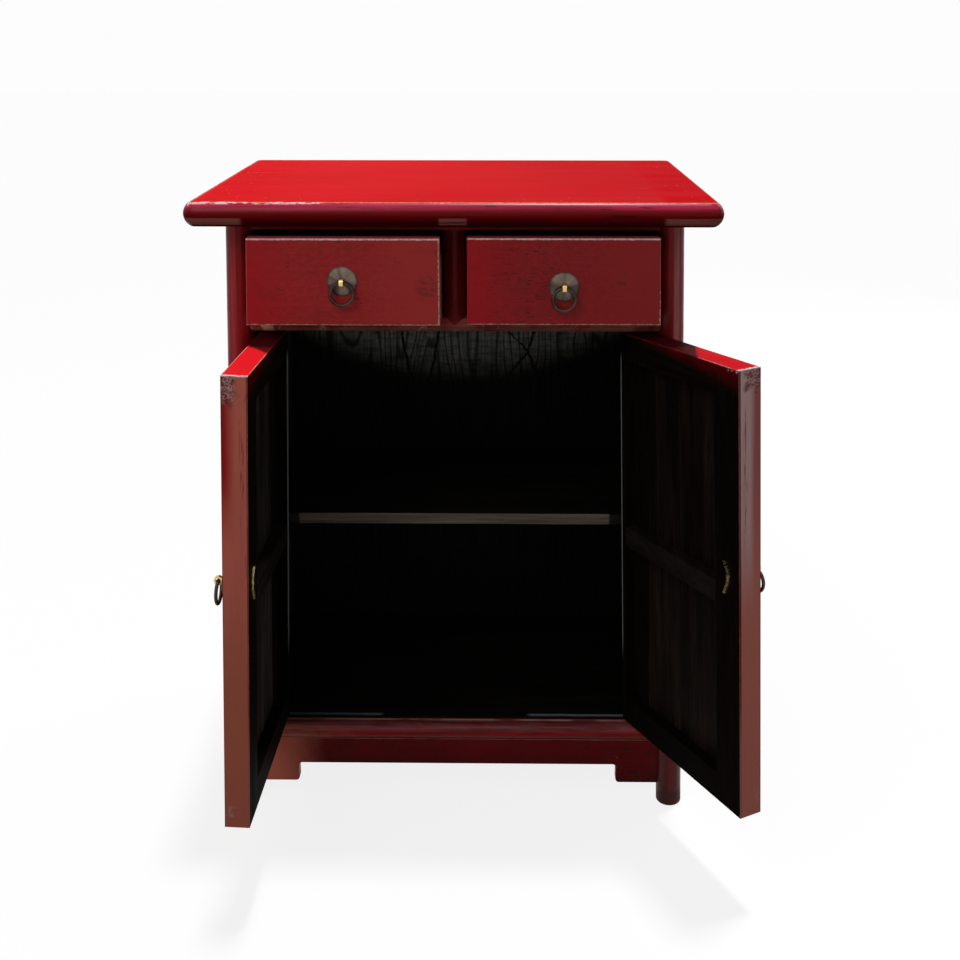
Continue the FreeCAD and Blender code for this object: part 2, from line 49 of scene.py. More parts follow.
# Colours
RED = (0.500, 0.0110, 0.0140)
RED_DEEP = (0.385, 0.0080, 0.0110)
DOOR_RED = (0.470, 0.0190, 0.0215)
DOOR_RED_DEEP = (0.400, 0.0150, 0.0175)
UNDERCOAT = (0.055, 0.016, 0.012)
PLUM = (0.430, 0.018, 0.062)
GESSO = (0.640, 0.330, 0.240)
PALE = (0.820, 0.560, 0.530)
CHALK = (0.860, 0.740, 0.730)
TAN = (0.600, 0.275, 0.175)
FOOT_GREY = (0.024, 0.0145, 0.0125)
BROWN = (0.600, 0.155, 0.108)
SOOT = (0.0048, 0.0036, 0.0027)
SOOT_BROWN = (0.0085, 0.0056, 0.0042)
WHITE = 0.98

# Stretch of a texture along the grain of a board
ALONG_X, ALONG_Y, ALONG_Z = (0.06, 1, 1), (1, 0.06, 1), (1, 1, 0.06)


def shade(tone, amount):
    return tuple(part * amount for part in tone)


def powered(stretch, power):
    return tuple(part ** power for part in stretch)


class Tree:
    """The nodes of a material or of the surround."""

    def __init__(self, owner):
        owner.use_nodes = True
        self.tree = owner.node_tree

    def add(self, kind):
        return self.tree.nodes.new(kind)

    def join(self, source, target):
        self.tree.links.new(source, target)

    def put(self, socket, value):
        if isinstance(value, bpy.types.NodeSocket):
            self.join(value, socket)
        elif isinstance(value, tuple) and len(value) == 3 and len(socket.default_value) == 4:
            socket.default_value = (*value, 1.0)
        else:
            socket.default_value = value

    def math(self, operation, *values):
        node = self.add("ShaderNodeMath")
        node.operation = operation
        for socket, value in zip(node.inputs, values):
            self.put(socket, value)
        return node.outputs[0]

    def plus(self, a, b):
        return self.math("ADD", a, b)

    def minus(self, a, b):
        return self.math("SUBTRACT", a, b)

    def times(self, first, *others):
        for other in others:
            first = self.math("MULTIPLY", first, other)
        return first

    def least(self, first, *others):
        for other in others:
            first = self.math("MINIMUM", first, other)
        return first

    def most(self, first, *others):
        for other in others:
            first = self.math("MAXIMUM", first, other)
        return first

    def size(self, value):
        return self.math("ABSOLUTE", value)

    def off(self, value, place):
        """Distance of a value from a place."""
        return self.size(self.minus(value, place))

    def length(self, a, b):
        return self.math("SQRT", self.plus(self.times(a, a), self.times(b, b)))

    def swing(self, noise, reach):
        """Noise about one half as a shift to either side of zero."""
        return self.times(self.minus(noise, 0.5), reach)

    def ramp(self, value, start, end, low=0.0, high=1.0):
        """Smooth step of value from low at start to high at end."""
        node = self.add("ShaderNodeMapRange")
        node.interpolation_type = "SMOOTHSTEP"
        numbers = {"From Min": start, "From Max": end, "To Min": low, "To Max": high}
        for name, number in numbers.items():
            self.put(node.inputs[name], number)
        self.put(node.inputs["Value"], value)
        return node.outputs["Result"]

    def split(self, vector):
        node = self.add("ShaderNodeSeparateXYZ")
        self.put(node.inputs[0], vector)
        return node.outputs[0], node.outputs[1], node.outputs[2]

    def mapped(self, vector, scale=(1, 1, 1), shift=(0, 0, 0), turn=(0, 0, 0)):
        node = self.add("ShaderNodeMapping")
        self.put(node.inputs["Vector"], vector)
        node.inputs["Scale"].default_value = scale
        node.inputs["Location"].default_value = shift
        node.inputs["Rotation"].default_value = turn
        return node.outputs[0]

    def noise(self, vector, scale, detail=3.0, rough=0.5, stretch=None, twist=0.0):
        if stretch:
            vector = self.mapped(vector, stretch)
        node = self.add("ShaderNodeTexNoise")
        self.put(node.inputs["Vector"], vector)
        node.inputs["Scale"].default_value = scale
        node.inputs["Detail"].default_value = detail
        node.inputs["Roughness"].default_value = rough
        node.inputs["Distortion"].default_value = twist
        return node.outputs[0]

    def cells(self, vector, scale, feature="F1"):
        node = self.add("ShaderNodeTexVoronoi")
        node.feature = feature
        self.put(node.inputs["Vector"], vector)
        node.inputs["Scale"].default_value = scale
        return node.outputs["Distance"]

    def blend(self, amount, a, b):
        """Colour a towards colour b by amount."""
        node = self.add("ShaderNodeMix")
        node.data_type = "RGBA"
        self.put(node.inputs[0], amount)
        self.put(node.inputs[6], a)
        self.put(node.inputs[7], b)
        return node.outputs[2]

    def mixed(self, amount, a, b):
        """Number a towards number b by amount."""
        node = self.add("ShaderNodeMix")
        node.data_type = "FLOAT"
        self.put(node.inputs[0], amount)
        self.put(node.inputs[2], a)
        self.put(node.inputs[3], b)
        return node.outputs[0]

    def darker(self, colour, amount):
        """Colour times a grey amount."""
        node = self.add("ShaderNodeVectorMath")
        node.operation = "SCALE"
        self.put(node.inputs[0], colour)
        self.put(node.inputs["Scale"], amount)
        return node.outputs[0]

    def seen(self):
        """One where the surface is looked at, straight or by reflection, zero for bounced light."""
        path = self.add("ShaderNodeLightPath").outputs
        return self.most(path["Is Camera Ray"], path["Is Glossy Ray"], path["Is Transmission Ray"])


class Maker(Tree):
    """A material made of nodes, in the part's own coordinates."""

    def __init__(self, name):
        self.material = bpy.data.materials.new(name)
        super().__init__(self.material)
        self.tree.nodes.clear()
        out = self.add("ShaderNodeOutputMaterial")
        self.shader = self.add("ShaderNodeBsdfPrincipled")
        self.join(self.shader.outputs["BSDF"], out.inputs["Surface"])
        self.place = self.add("ShaderNodeTexCoord").outputs["Object"]

    def finish(self, coat, strength, distance, **sockets):
        """Colour, roughness and bump of a coat on the shader, with other sockets by name."""
        colour, rough, height = coat
        self.put(self.shader.inputs["Base Color"], colour)
        self.put(self.shader.inputs["Roughness"], rough)
        bump = self.add("ShaderNodeBump")
        bump.inputs["Strength"].default_value = strength
        bump.inputs["Distance"].default_value = distance
        self.put(bump.inputs["Height"], height)
        self.join(bump.outputs[0], self.shader.inputs["Normal"])
        for name, value in sockets.items():
            self.put(self.shader.inputs[name.replace("_", " ")], value)
        return self.material


def door_place(m, side):
    """Coordinates of a door as if it were shut, the left one mirrored onto the right one."""
    turn = Matrix.Rotation(math.radians(-OPEN[side]), 3, PIVOT_AXIS)
    shift = PIVOT - turn @ PIVOT
    scale = (-1, 1, 1) if side == "left" else (1, 1, 1)
    return m.mapped(m.place, scale, shift, turn.to_euler("XYZ"))


def drawer_place(m, side):
    """Coordinates of a drawer as if it were shut."""
    return m.mapped(m.place, (1, 1, 1), (0, OUT[side], 0))


# Coats: each gives colour, roughness and height
def red_coat(m, p, along, light=RED, deep=RED_DEEP, fibres=0.06, dents=0.4, streaks=0.10):
    """Old red lacquer, with its fibres and streaks along the grain."""
    cloud = m.noise(p, 7.0, 3.0, 0.5)
    patch = m.noise(p, 30.0, 3.0, 0.6)
    fibre = m.noise(p, 900.0, 2.0, 0.6, along)
    weave = m.noise(p, 1100.0, 2.0, 0.6)
    colour = m.blend(m.ramp(cloud, 0.32, 0.68), deep, light)
    colour = m.blend(m.ramp(patch, 0.50, 0.80, 0.0, 0.25), colour, deep)
    colour = m.darker(colour, m.ramp(fibre, 0.25, 0.75, 1.0 - fibres, 1.0 + fibres))
    colour = m.darker(colour, m.ramp(weave, 0.30, 0.70, 0.94, 1.06))
    streak = m.noise(p, 150.0, 4.0, 0.6, powered(along, 1.2))
    colour = m.darker(colour, m.ramp(streak, 0.32, 0.68, 1.0 - 2.0 * streaks, 1.0 + streaks))
    marks = m.noise(p, 330.0, 3.0, 0.6, powered(along, 0.5))
    dent = m.times(m.ramp(marks, 0.66, 0.72), m.ramp(m.noise(p, 15.0, 2.0, 0.5), 0.50, 0.64))
    colour = m.blend(m.times(dent, dents), colour, UNDERCOAT)
    specks = m.ramp(m.cells(p, 150.0), 0.09, 0.04)
    specks = m.times(specks, m.ramp(m.noise(p, 21.0, 2.0), 0.54, 0.64))
    colour = m.blend(m.times(specks, 0.7), colour, UNDERCOAT)
    rough = m.plus(m.ramp(patch, 0.30, 0.75, 0.32, 0.46), m.times(dent, 0.25))
    height = m.plus(m.times(fibre, 0.5), m.times(weave, 0.45))
    return colour, rough, m.minus(height, m.times(m.plus(dent, specks), 1.2))


def black_coat(m, p, along, light=SOOT_BROWN, deep=SOOT):
    """Black stain over open-grained boards."""
    pores = m.noise(p, 420.0, 3.0, 0.65, along)
    streak = m.noise(p, 60.0, 4.0, 0.6, along)
    colour = m.blend(m.ramp(streak, 0.40, 0.70), deep, light)
    colour = m.darker(colour, m.ramp(pores, 0.30, 0.70, 0.55, 1.35))
    rough = m.ramp(streak, 0.30, 0.70, 0.52, 0.70)
    return colour, rough, m.plus(pores, m.times(streak, 0.6))


def wood_coat(m, p, along):
    """Plain wood, browned with age."""
    early, late, aged = (0.280, 0.122, 0.052), (0.430, 0.215, 0.105), (0.180, 0.086, 0.040)
    rings = m.noise(p, 55.0, 4.0, 0.55, along, 0.6)
    pores = m.noise(p, 700.0, 2.0, 0.6, along)
    stain = m.noise(p, 7.0, 3.0, 0.5)
    colour = m.blend(m.ramp(rings, 0.35, 0.68), early, late)
    colour = m.blend(m.ramp(stain, 0.45, 0.75, 0.0, 0.5), colour, aged)
    colour = m.darker(colour, m.ramp(pores, 0.30, 0.60, 0.72, 1.05))
    rough = m.ramp(rings, 0.3, 0.7, 0.62, 0.78)
    return colour, rough, m.plus(m.times(rings, 0.5), pores)


def edge_wear_and_highlight(m, p, coat, edge, width, tone, amount, seed, cover=0.42, ragged=0.5):
    """A thin pale line along an edge that comes and goes: lacquer rubbed through, and for some
    callers a painted highlight.
    """
    colour, rough, height = coat
    moved = m.mapped(p, (1, 1, 1), (seed, seed, seed))
    share = m.ramp(m.noise(moved, 24.0, 3.0, 0.6), cover - 0.16, cover + 0.14)
    fine = m.noise(moved, 330.0, 3.0, 0.6)
    reach = m.times(m.ramp(fine, 0.28, 0.72, 1.0 - ragged, 1.0 + 0.6 * ragged), width)
    bare = m.times(m.ramp(m.minus(edge, reach), 0.00025, -0.00055), share, amount)
    bared = m.blend(m.ramp(fine, 0.30, 0.62), shade(tone, 0.65), tone)
    return worn_coat(m, m.blend(bare, colour, bared), rough, height, bare, 0.2, 0.6)


def worn_coat(m, colour, rough, height, bare, rougher, lower):
    """A coat that is rougher and lower where it is bare."""
    return colour, m.plus(rough, m.times(bare, rougher)), m.minus(height, m.times(bare, lower))


# Top
def nose_colour(m, p, x, y, z, streak):
    """Round nose: a painted plum sheen above, painted shade darkening it below, and painted light
    bounced up from the floor on its front underside at its ends and over the divider.
    """
    red, bare, mark = (0.190, 0.0045, 0.0065), (0.320, 0.104, 0.082), (0.030, 0.0050, 0.0075)
    # Painted sheen: the upper nose is blended towards plum where it faces up.
    sheen_amount = m.ramp(m.noise(p, 16.0, 3.0, 0.6, (0.4, 1, 1)), 0.36, 0.64, 0.55, 1.0)
    colour = m.blend(m.times(m.ramp(z, 0.6895, 0.6945), sheen_amount), red, PLUM)
    # Painted shade: the nose darkens towards its underside.
    colour = m.darker(colour, m.ramp(z, 0.677, 0.689, 0.28, 1.0))
    # Painted light: paler patches on the front underside at the ends and over the divider, where
    # floor light passes beside the drawers; rubbed and bare name them.
    off_middle = m.size(x)
    rubbed = m.most(m.ramp(off_middle, 0.204, 0.210), m.ramp(off_middle, 0.0150, 0.0120))
    rubbed = m.times(rubbed, m.ramp(z, 0.6840, 0.6825), m.ramp(z, 0.6755, 0.6770))
    rubbed = m.times(rubbed, m.ramp(y, -0.160, -0.172))
    colour = m.blend(m.times(rubbed, 0.75), colour, bare)
    colour = m.darker(colour, m.ramp(streak, 0.30, 0.70, 0.86, 1.14))
    brush = m.noise(p, 300.0, 3.0, 0.65, (0.07, 1, 1))
    share = m.ramp(m.noise(p, 18.0, 2.0), 0.44, 0.60, 0.15, 0.75)
    return m.blend(m.times(m.ramp(brush, 0.56, 0.66), share), colour, mark)


def top_material():
    """Satin top with a pale, chipped arris above a darker and glossier round nose, painted lighter
    to the left, with a painted sheen and a painted highlight along the arris.
    """
    m = Maker("red_top")
    p = m.place
    x, y, z = m.split(p)
    red_lit_left, red_shaded_right = (0.640, 0.0060, 0.0100), (0.500, 0.0010, 0.0050)
    sheen_tone, arris_highlight = (0.620, 0.120, 0.105), (0.860, 0.300, 0.165)
    # Painted light: the top is lighter to the left and darker to the right, as the light falls.
    colour = m.blend(m.ramp(x, -0.24, 0.26), red_lit_left, red_shaded_right)
    cloud = m.noise(p, 5.0, 3.0, 0.5, (0.5, 1, 1))
    colour = m.darker(colour, m.ramp(cloud, 0.30, 0.70, 0.92, 1.05))
    streak = m.noise(p, 380.0, 3.0, 0.6, (0.02, 1, 1))
    colour = m.darker(colour, m.ramp(streak, 0.30, 0.70, 0.95, 1.05))
    sheen_haze = m.noise(p, 24.0, 4.0, 0.6, (0.22, 1, 1))
    # Painted sheen: pale hazy patches across the middle of the top stand in for broad reflections.
    painted_sheen = m.ramp(m.plus(sheen_haze, m.swing(cloud, 0.5)), 0.46, 0.78, 0.02, 0.13)
    painted_sheen = m.times(painted_sheen, m.ramp(x, 0.216, 0.200), m.ramp(x, -0.230, -0.150))
    colour = m.blend(painted_sheen, colour, sheen_tone)
    hair = m.noise(p, 110.0, 2.0, 0.5, (0.04, 1, 1), 0.2)
    scratch = m.times(m.ramp(hair, 0.70, 0.76), m.ramp(m.noise(p, 12.0, 2.0), 0.52, 0.64))
    colour = m.blend(m.times(scratch, 0.25), colour, PALE)

    flat = m.ramp(z, TOP_Z - 0.0005, TOP_Z - 0.0001)
    nose = m.minus(1.0, flat)
    colour = m.blend(nose, colour, nose_colour(m, p, x, y, z, streak))
    rough = m.plus(m.ramp(sheen_haze, 0.30, 0.75, 0.52, 0.64), m.times(nose, -0.22))
    height = m.plus(m.times(streak, 0.6), m.times(sheen_haze, 0.6))

    beside = m.least(m.off(x, -ARRIS_X), m.off(x, ARRIS_X))
    before = m.least(m.off(y, -ARRIS_Y), m.off(y, ARRIS_Y))
    below = m.off(z, TOP_Z)
    arris = m.least(m.most(beside, before), m.most(beside, below), m.most(before, below))
    # Painted highlight: a thin orange line along the front arris stands in for light glinting on
    # it; the white chips below are wear.
    front = m.ramp(y, -0.165, -0.180, 0.35, 1.0)
    coat = edge_wear_and_highlight(m, p, (colour, rough, height), arris, 0.0010, arris_highlight, m.times(front, 0.95),
               0.37, 0.29, 0.25)
    colour, rough, height = coat
    left = m.ramp(x, -0.06, -0.165)
    broken = m.noise(p, 170.0, 4.0, 0.75, (0.50, 1, 1))
    bias = m.plus(m.times(left, 0.11), m.ramp(x, 0.02, 0.08, 0.0, -0.06))
    chip = m.times(m.ramp(m.plus(broken, bias), 0.60, 0.65), front)
    chip = m.times(chip, m.ramp(arris, m.mixed(left, 0.0018, 0.0034), 0.0008))
    colour = m.blend(m.times(chip, 0.9), colour, CHALK)
    to_end = m.least(m.minus(TOP_X, m.size(x)), m.minus(TOP_Y, m.size(y)))
    dusty = m.plus(m.noise(p, 30.0, 2.0), m.ramp(x, -0.06, -0.16, 0.0, 0.10))
    fleck = m.times(m.ramp(to_end, 0.11, 0.012), m.ramp(dusty, 0.42, 0.60))
    fleck = m.times(m.ramp(m.cells(p, 95.0), 0.105, 0.045), fleck, flat)
    colour = m.blend(m.times(fleck, 0.7), colour, PALE)
    rough = m.plus(rough, m.times(chip, 0.2))
    height = m.minus(height, m.times(m.plus(chip, fleck), 0.8))
    gloss = m.times(nose, m.ramp(z, 0.684, 0.692), 0.20)
    return m.finish((colour, rough, height), 0.10, 0.0004, Specular_IOR_Level=0.004,
                    Coat_Weight=gloss, Coat_Roughness=0.25)


# Fixed frame
def carcass_material(name, along, inside=None, dark=1.0, foot=None, wear=None, shine=0.09,
                     streaks=0.10):
    """Lacquer of the fixed frame, black where it faces the inside of the cupboard."""
    m = Maker(name)
    p = m.place
    x, y, z = m.split(p)
    colour, rough, height = red_coat(m, p, along, streaks=streaks)
    # A lower dark darkens the whole part: painted shade for the upper rail and the divider.
    if foot is None:
        colour = m.darker(colour, dark)
    else:
        # Darker towards the floor: painted shade of the low parts, with some dirt.
        low = m.plus(z, m.times(m.noise(p, 22.0, 4.0, 0.6), 0.10))
        colour = m.darker(colour, m.ramp(low, 0.05, 0.24, 0.35 * dark, dark))
        level = m.plus(z, m.swing(m.noise(p, 90.0, 5.0, 0.7), 0.100))
        rubbed = m.ramp(level, foot + 0.003, foot - 0.003)
        grain = m.ramp(m.noise(p, 300.0, 3.0, 0.6), 0.38, 0.62)
        tone = m.blend(grain, shade(FOOT_GREY, 0.45), FOOT_GREY)
        colour = m.blend(m.times(rubbed, 0.6), colour, tone)
        colour, rough, height = worn_coat(m, colour, rough, height, rubbed, 0.25, 1.2)
    if wear:
        colour, rough, height = wear(m, p, (x, y, z), (colour, rough, height))
    if inside:
        mask = inside(m, x, y, z)
        black, black_rough, _ = black_coat(m, p, along)
        colour = m.blend(mask, colour, black)
        rough = m.mixed(mask, rough, black_rough)
    return m.finish((colour, rough, height), 0.2, 0.0005, Specular_IOR_Level=shine)


def beyond_side(m, x, z):
    """How far a point lies outside the leaning plane of the post centres."""
    lean = m.times(m.minus(UNDER_TOP, z), math.tan(LEAN))
    return m.minus(m.size(x), m.plus(lean, POST_X))


def inside_of_front(m, x, y, z):
    return m.ramp(y, -0.1245, -0.1225)


def inside_of_post(m, x, y, z):
    inner = m.ramp(beyond_side(m, x, z), -0.0045, -0.0060)
    between = m.times(m.ramp(y, -0.1365, -0.1345), m.ramp(y, 0.1345, 0.1325))
    return m.times(inner, m.ramp(z, 0.094, 0.097), between)


def inside_of_side(m, x, y, z):
    return m.ramp(beyond_side(m, x, z), 0.001, -0.001)


def inside_of_back(m, x, y, z):
    return m.ramp(y, 0.1335, 0.1315)


def post_sheen_and_darkening(m, p, place, coat):
    """Post: a painted sheen streak down its front, darker towards drawers and doors."""
    x, y, z = place
    colour, rough, height = coat
    sheen_left, sheen_right = (0.480, 0.040, 0.048), (0.440, 0.185, 0.180)
    # Painted highlight: a pale streak down the front of each post stands in for a glossy
    # reflection.
    out = beyond_side(m, x, z)
    sheen_haze = m.times(m.ramp(m.off(out, 0.0050), 0.0042, 0.0014),
                   m.ramp(y, -0.1375, -0.1405), m.ramp(z, 0.06, 0.20))
    streak = m.noise(p, 200.0, 3.0, 0.6, (1, 1, 0.04))
    sheen_haze = m.times(sheen_haze, m.ramp(streak, 0.34, 0.62, 0.45, 0.80))
    colour = m.blend(sheen_haze, colour, m.blend(m.ramp(x, -0.05, 0.05), sheen_left, sheen_right))
    inner_darkening = m.plus(out, m.swing(m.noise(p, 45.0, 4.0, 0.65, (1, 1, 0.3)), 0.008))
    colour = m.darker(colour, m.ramp(inner_darkening, -0.0075, -0.0015, 0.68, 1.0))
    return colour, rough, height


def rubbed_rail(m, p, place, coat):
    """Rail between drawers and doors: brown where hands have rubbed it, with bare spots."""
    x, y, z = place
    colour, rough, height = coat
    dusky, bare = (0.215, 0.108, 0.068), (0.980, 0.520, 0.330)
    run = m.noise(p, 42.0, 4.0, 0.6, (1, 0.3, 0.6))
    brown = m.ramp(run, 0.38, 0.62, 0.10, 0.70)
    # The rail is darkened overall: painted shade under the drawers.
    colour = m.blend(brown, m.darker(colour, 0.55), shade(BROWN, 0.54))
    brush = m.noise(p, 240.0, 3.0, 0.6, (0.06, 1, 1))
    colour = m.darker(colour, m.ramp(brush, 0.34, 0.62, 0.55, 1.25))
    lower = m.times(m.ramp(z, 0.5625, 0.5590), m.ramp(run, 0.30, 0.50))
    colour = m.blend(m.times(lower, 0.7), colour, dusky)
    front = m.ramp(y, -0.1340, -0.1380)
    spot = m.ramp(m.noise(p, 95.0, 4.0, 0.65, (1, 0.5, 1)), 0.60, 0.68)
    spot = m.times(spot, front)
    corner = m.plus(m.off(x, RAIL_END), m.swing(run, 0.02))
    corner = m.times(m.ramp(corner, 0.008, 0.005), front)
    colour = m.blend(m.times(spot, 0.7), colour, GESSO)
    colour = m.blend(m.times(corner, 0.9), colour, bare)
    return worn_coat(m, colour, rough, height, m.most(spot, corner), 0.2, 0.8)


def rubbed_sill(m, p, place, coat):
    """Sill: a painted pinkish sheen along its upper round, with a thin bare line behind, brown at
    its left end.
    """
    x, y, z = place
    colour, rough, height = coat
    dusky = (0.240, 0.105, 0.115)
    run = m.noise(p, 60.0, 4.0, 0.6, (0.5, 1, 1))
    brush = m.noise(p, 260.0, 3.0, 0.6, (0.05, 1, 1))
    # Painted sheen: the upper round is blended to a dusky pink that stands in for a reflection.
    upper = m.times(m.ramp(z, 0.0890, 0.0945), m.ramp(run, 0.34, 0.62, 0.45, 0.85))
    colour = m.blend(m.times(upper, 0.64), colour, dusky)
    end = m.plus(x, m.swing(run, 0.08))
    colour = m.blend(m.ramp(end, -0.110, -0.190, 0.0, 0.75), colour, BROWN)
    colour = m.darker(colour, m.ramp(brush, 0.36, 0.60, 0.55, 1.14))
    scrape = m.ramp(m.noise(p, 150.0, 4.0, 0.65, (0.25, 1, 1)), 0.63, 0.70)
    scrape = m.times(scrape, m.ramp(z, 0.0930, 0.0890))
    colour = m.blend(m.times(scrape, 0.7), colour, shade(FOOT_GREY, 0.35))
    line = m.ramp(m.plus(y, m.swing(run, 0.002)), -0.1285, -0.1270)
    line = m.times(line, m.ramp(y, -0.1240, -0.1250), m.ramp(z, 0.0960, 0.0968))
    line = m.times(line, m.ramp(m.noise(p, 16.0, 2.0), 0.42, 0.56))
    colour = m.blend(m.times(line, 0.8), colour, GESSO)
    height = m.minus(m.plus(height, m.times(brush, 0.5)), m.times(m.plus(line, scrape), 0.6))
    return colour, m.plus(rough, m.times(line, 0.2)), height


def rubbed_apron(m, p, place, coat):
    """Apron: a bare line along its upper edge, brown at its left end, chips at its steps."""
    x, _, z = place
    colour, rough, height = coat
    brown = (0.720, 0.180, 0.118)
    run = m.noise(p, 70.0, 4.0, 0.65)
    end = m.plus(x, m.swing(run, 0.016))
    colour = m.blend(m.ramp(end, -0.146, -0.194, 0.0, 0.88), colour, brown)
    pit = m.ramp(m.noise(p, 170.0, 4.0, 0.65, (0.5, 1, 1)), 0.61, 0.69)
    pit = m.times(pit, m.ramp(m.noise(p, 13.0, 2.0), 0.42, 0.58))
    colour = m.blend(m.times(pit, 0.8), colour, shade(FOOT_GREY, 0.35))
    below = m.plus(m.minus(APRON_TOP, z), m.swing(run, 0.003))
    line = m.times(m.ramp(below, 0.0014, 0.0006), m.ramp(m.noise(p, 9.0, 2.0), 0.40, 0.55))
    step = m.plus(m.off(m.size(x), APRON_STEP_X), m.off(z, APRON_STEP_Z))
    chip = m.times(m.ramp(step, 0.016, 0.008), m.ramp(m.noise(p, 210.0, 3.0, 0.6), 0.58, 0.66))
    bare = m.most(line, chip)
    colour = m.blend(m.times(bare, 0.34), colour, GESSO)
    height = m.minus(height, m.times(m.plus(bare, pit), 0.6))
    return colour, m.plus(rough, m.times(bare, 0.2)), height


def side_darker_at_border(m, p, place, coat):
    """Side panel: darker towards the posts and rails, with a few scrapes."""
    _, y, z = place
    colour, rough, height = coat
    border = m.least(m.minus(z, SIDE_LOW), m.minus(SIDE_HIGH, z))
    border = m.least(m.minus(SIDE_HALF, m.size(y)), border)
    border = m.plus(border, m.swing(m.noise(p, 28.0, 4.0, 0.6), 0.030))
    colour = m.darker(colour, m.ramp(border, 0.000, 0.026, 0.62, 1.0))
    scrape = m.ramp(m.noise(p, 75.0, 5.0, 0.65, (1, 0.30, 1)), 0.67, 0.73)
    scrape = m.times(scrape, m.ramp(m.noise(p, 6.0, 2.0), 0.46, 0.62))
    colour = m.blend(m.times(scrape, 0.55), colour, UNDERCOAT)
    return worn_coat(m, colour, rough, height, scrape, 0.2, 0.8)


def rubbed_side_rail(m, p, place, coat):
    """Rounded side rail, worn to brown in places along its outside."""
    x, _, z = place
    colour, rough, height = coat
    run = m.noise(p, 45.0, 4.0, 0.6, (1, 0.4, 1))
    worn = m.times(m.ramp(run, 0.50, 0.66), m.ramp(beyond_side(m, x, z), 0.003, 0.008))
    colour = m.blend(m.times(worn, 0.55), colour, shade(BROWN, 0.7))
    return worn_coat(m, colour, rough, height, worn, 0.15, 0.4)


# Doors
def free_edge_tone(m, side, p, across, z, streak):
    """Lacquer of a door's free edge: rubbed brown, crimson on the left, and on the right a grey
    band that is a painted reflection.
    """
    pore = (0.070, 0.018, 0.020)
    pores = m.noise(p, 420.0, 2.0, 0.55, (1, 1, 0.07))
    if side == "left":
        brown_low, brown_high = (0.460, 0.138, 0.084), (0.620, 0.160, 0.114)
        crimson = (0.360, 0.0140, 0.0180)
        tone = m.blend(m.ramp(z, 0.24, 0.38), brown_low, brown_high)
        tone = m.blend(m.ramp(streak, 0.34, 0.74, 0.0, 0.40), tone, shade(BROWN, 0.74))
        outside = m.times(m.ramp(across, -0.1255, -0.1385), m.ramp(z, 0.385, 0.470))
        tone = m.blend(outside, tone, crimson)
        dashes = m.times(m.ramp(pores, 0.60, 0.68), m.ramp(across, -0.1255, -0.1215),
                         m.ramp(z, 0.30, 0.42))
    else:
        brown_low, brown_high = (0.600, 0.200, 0.150), (0.420, 0.140, 0.125)
        grey, warm = (0.700, 0.480, 0.480), (0.520, 0.210, 0.190)
        tone = m.blend(m.ramp(z, 0.32, 0.50), brown_low, brown_high)
        # Painted reflection: a pinkish-grey band on the right door's free edge stands in for a
        # reflection.
        grey_reflection = m.times(m.ramp(across, -0.1345, -0.1275), m.ramp(z, 0.30, 0.42))
        tone = m.blend(m.times(grey_reflection, 0.9), tone, grey)
        tone = m.blend(m.ramp(streak, 0.42, 0.75, 0.0, 0.40), tone, warm)
        dashes = m.times(m.ramp(pores, 0.58, 0.66),
                         m.ramp(m.off(across, -0.1235), 0.0030, 0.0010),
                         m.ramp(z, 0.28, 0.40))
    return m.blend(m.times(dashes, 0.60), tone, pore)


def crackled_corner(m, side, p, outer, z, colour, free):
    """Crackled, rubbed patch at the upper corner of a door's free edge."""
    high, wide = (0.027, 0.0135) if side == "left" else (0.020, 0.0170)
    dark, light, vein = (0.190, 0.030, 0.036), (0.330, 0.130, 0.130), (0.640, 0.480, 0.470)
    ragged = m.noise(p, 110.0, 4.0, 0.6)
    down = m.times(m.minus(DOOR_HIGH, z), 1.0 / high)
    reach = m.plus(m.most(down, m.times(outer, 1.0 / wide)), m.swing(ragged, 1.3))
    rubbed = m.times(m.ramp(reach, 1.15, 0.75), free)
    crackle = m.cells(m.mapped(p, (1, 1, 0.8)), 330.0, "DISTANCE_TO_EDGE")
    veins = m.times(m.ramp(crackle, 0.17, 0.03), m.ramp(ragged, 0.42, 0.58, 0.15, 1.0))
    patch = m.blend(m.ramp(ragged, 0.42, 0.62), dark, light)
    patch = m.blend(m.times(veins, 0.85), patch, vein)
    return m.blend(m.times(rubbed, 0.85), colour, patch)


def scuffed_foot(m, side, p, y, z, colour, free):
    """Pale scuff near the lower end of a door's free edge."""
    scuff_y, scuff_z = (-0.1335, 0.1165) if side == "left" else (-0.1375, 0.1180)
    far = m.length(m.times(m.minus(y, scuff_y), 1.6), m.minus(z, scuff_z))
    scraped = m.ramp(m.noise(p, 240.0, 4.0, 0.65), 0.48, 0.60)
    scuff = m.times(m.ramp(far, 0.0085, 0.0030), free, scraped)
    return m.blend(m.times(scuff, 0.7), colour, (0.480, 0.330, 0.300))


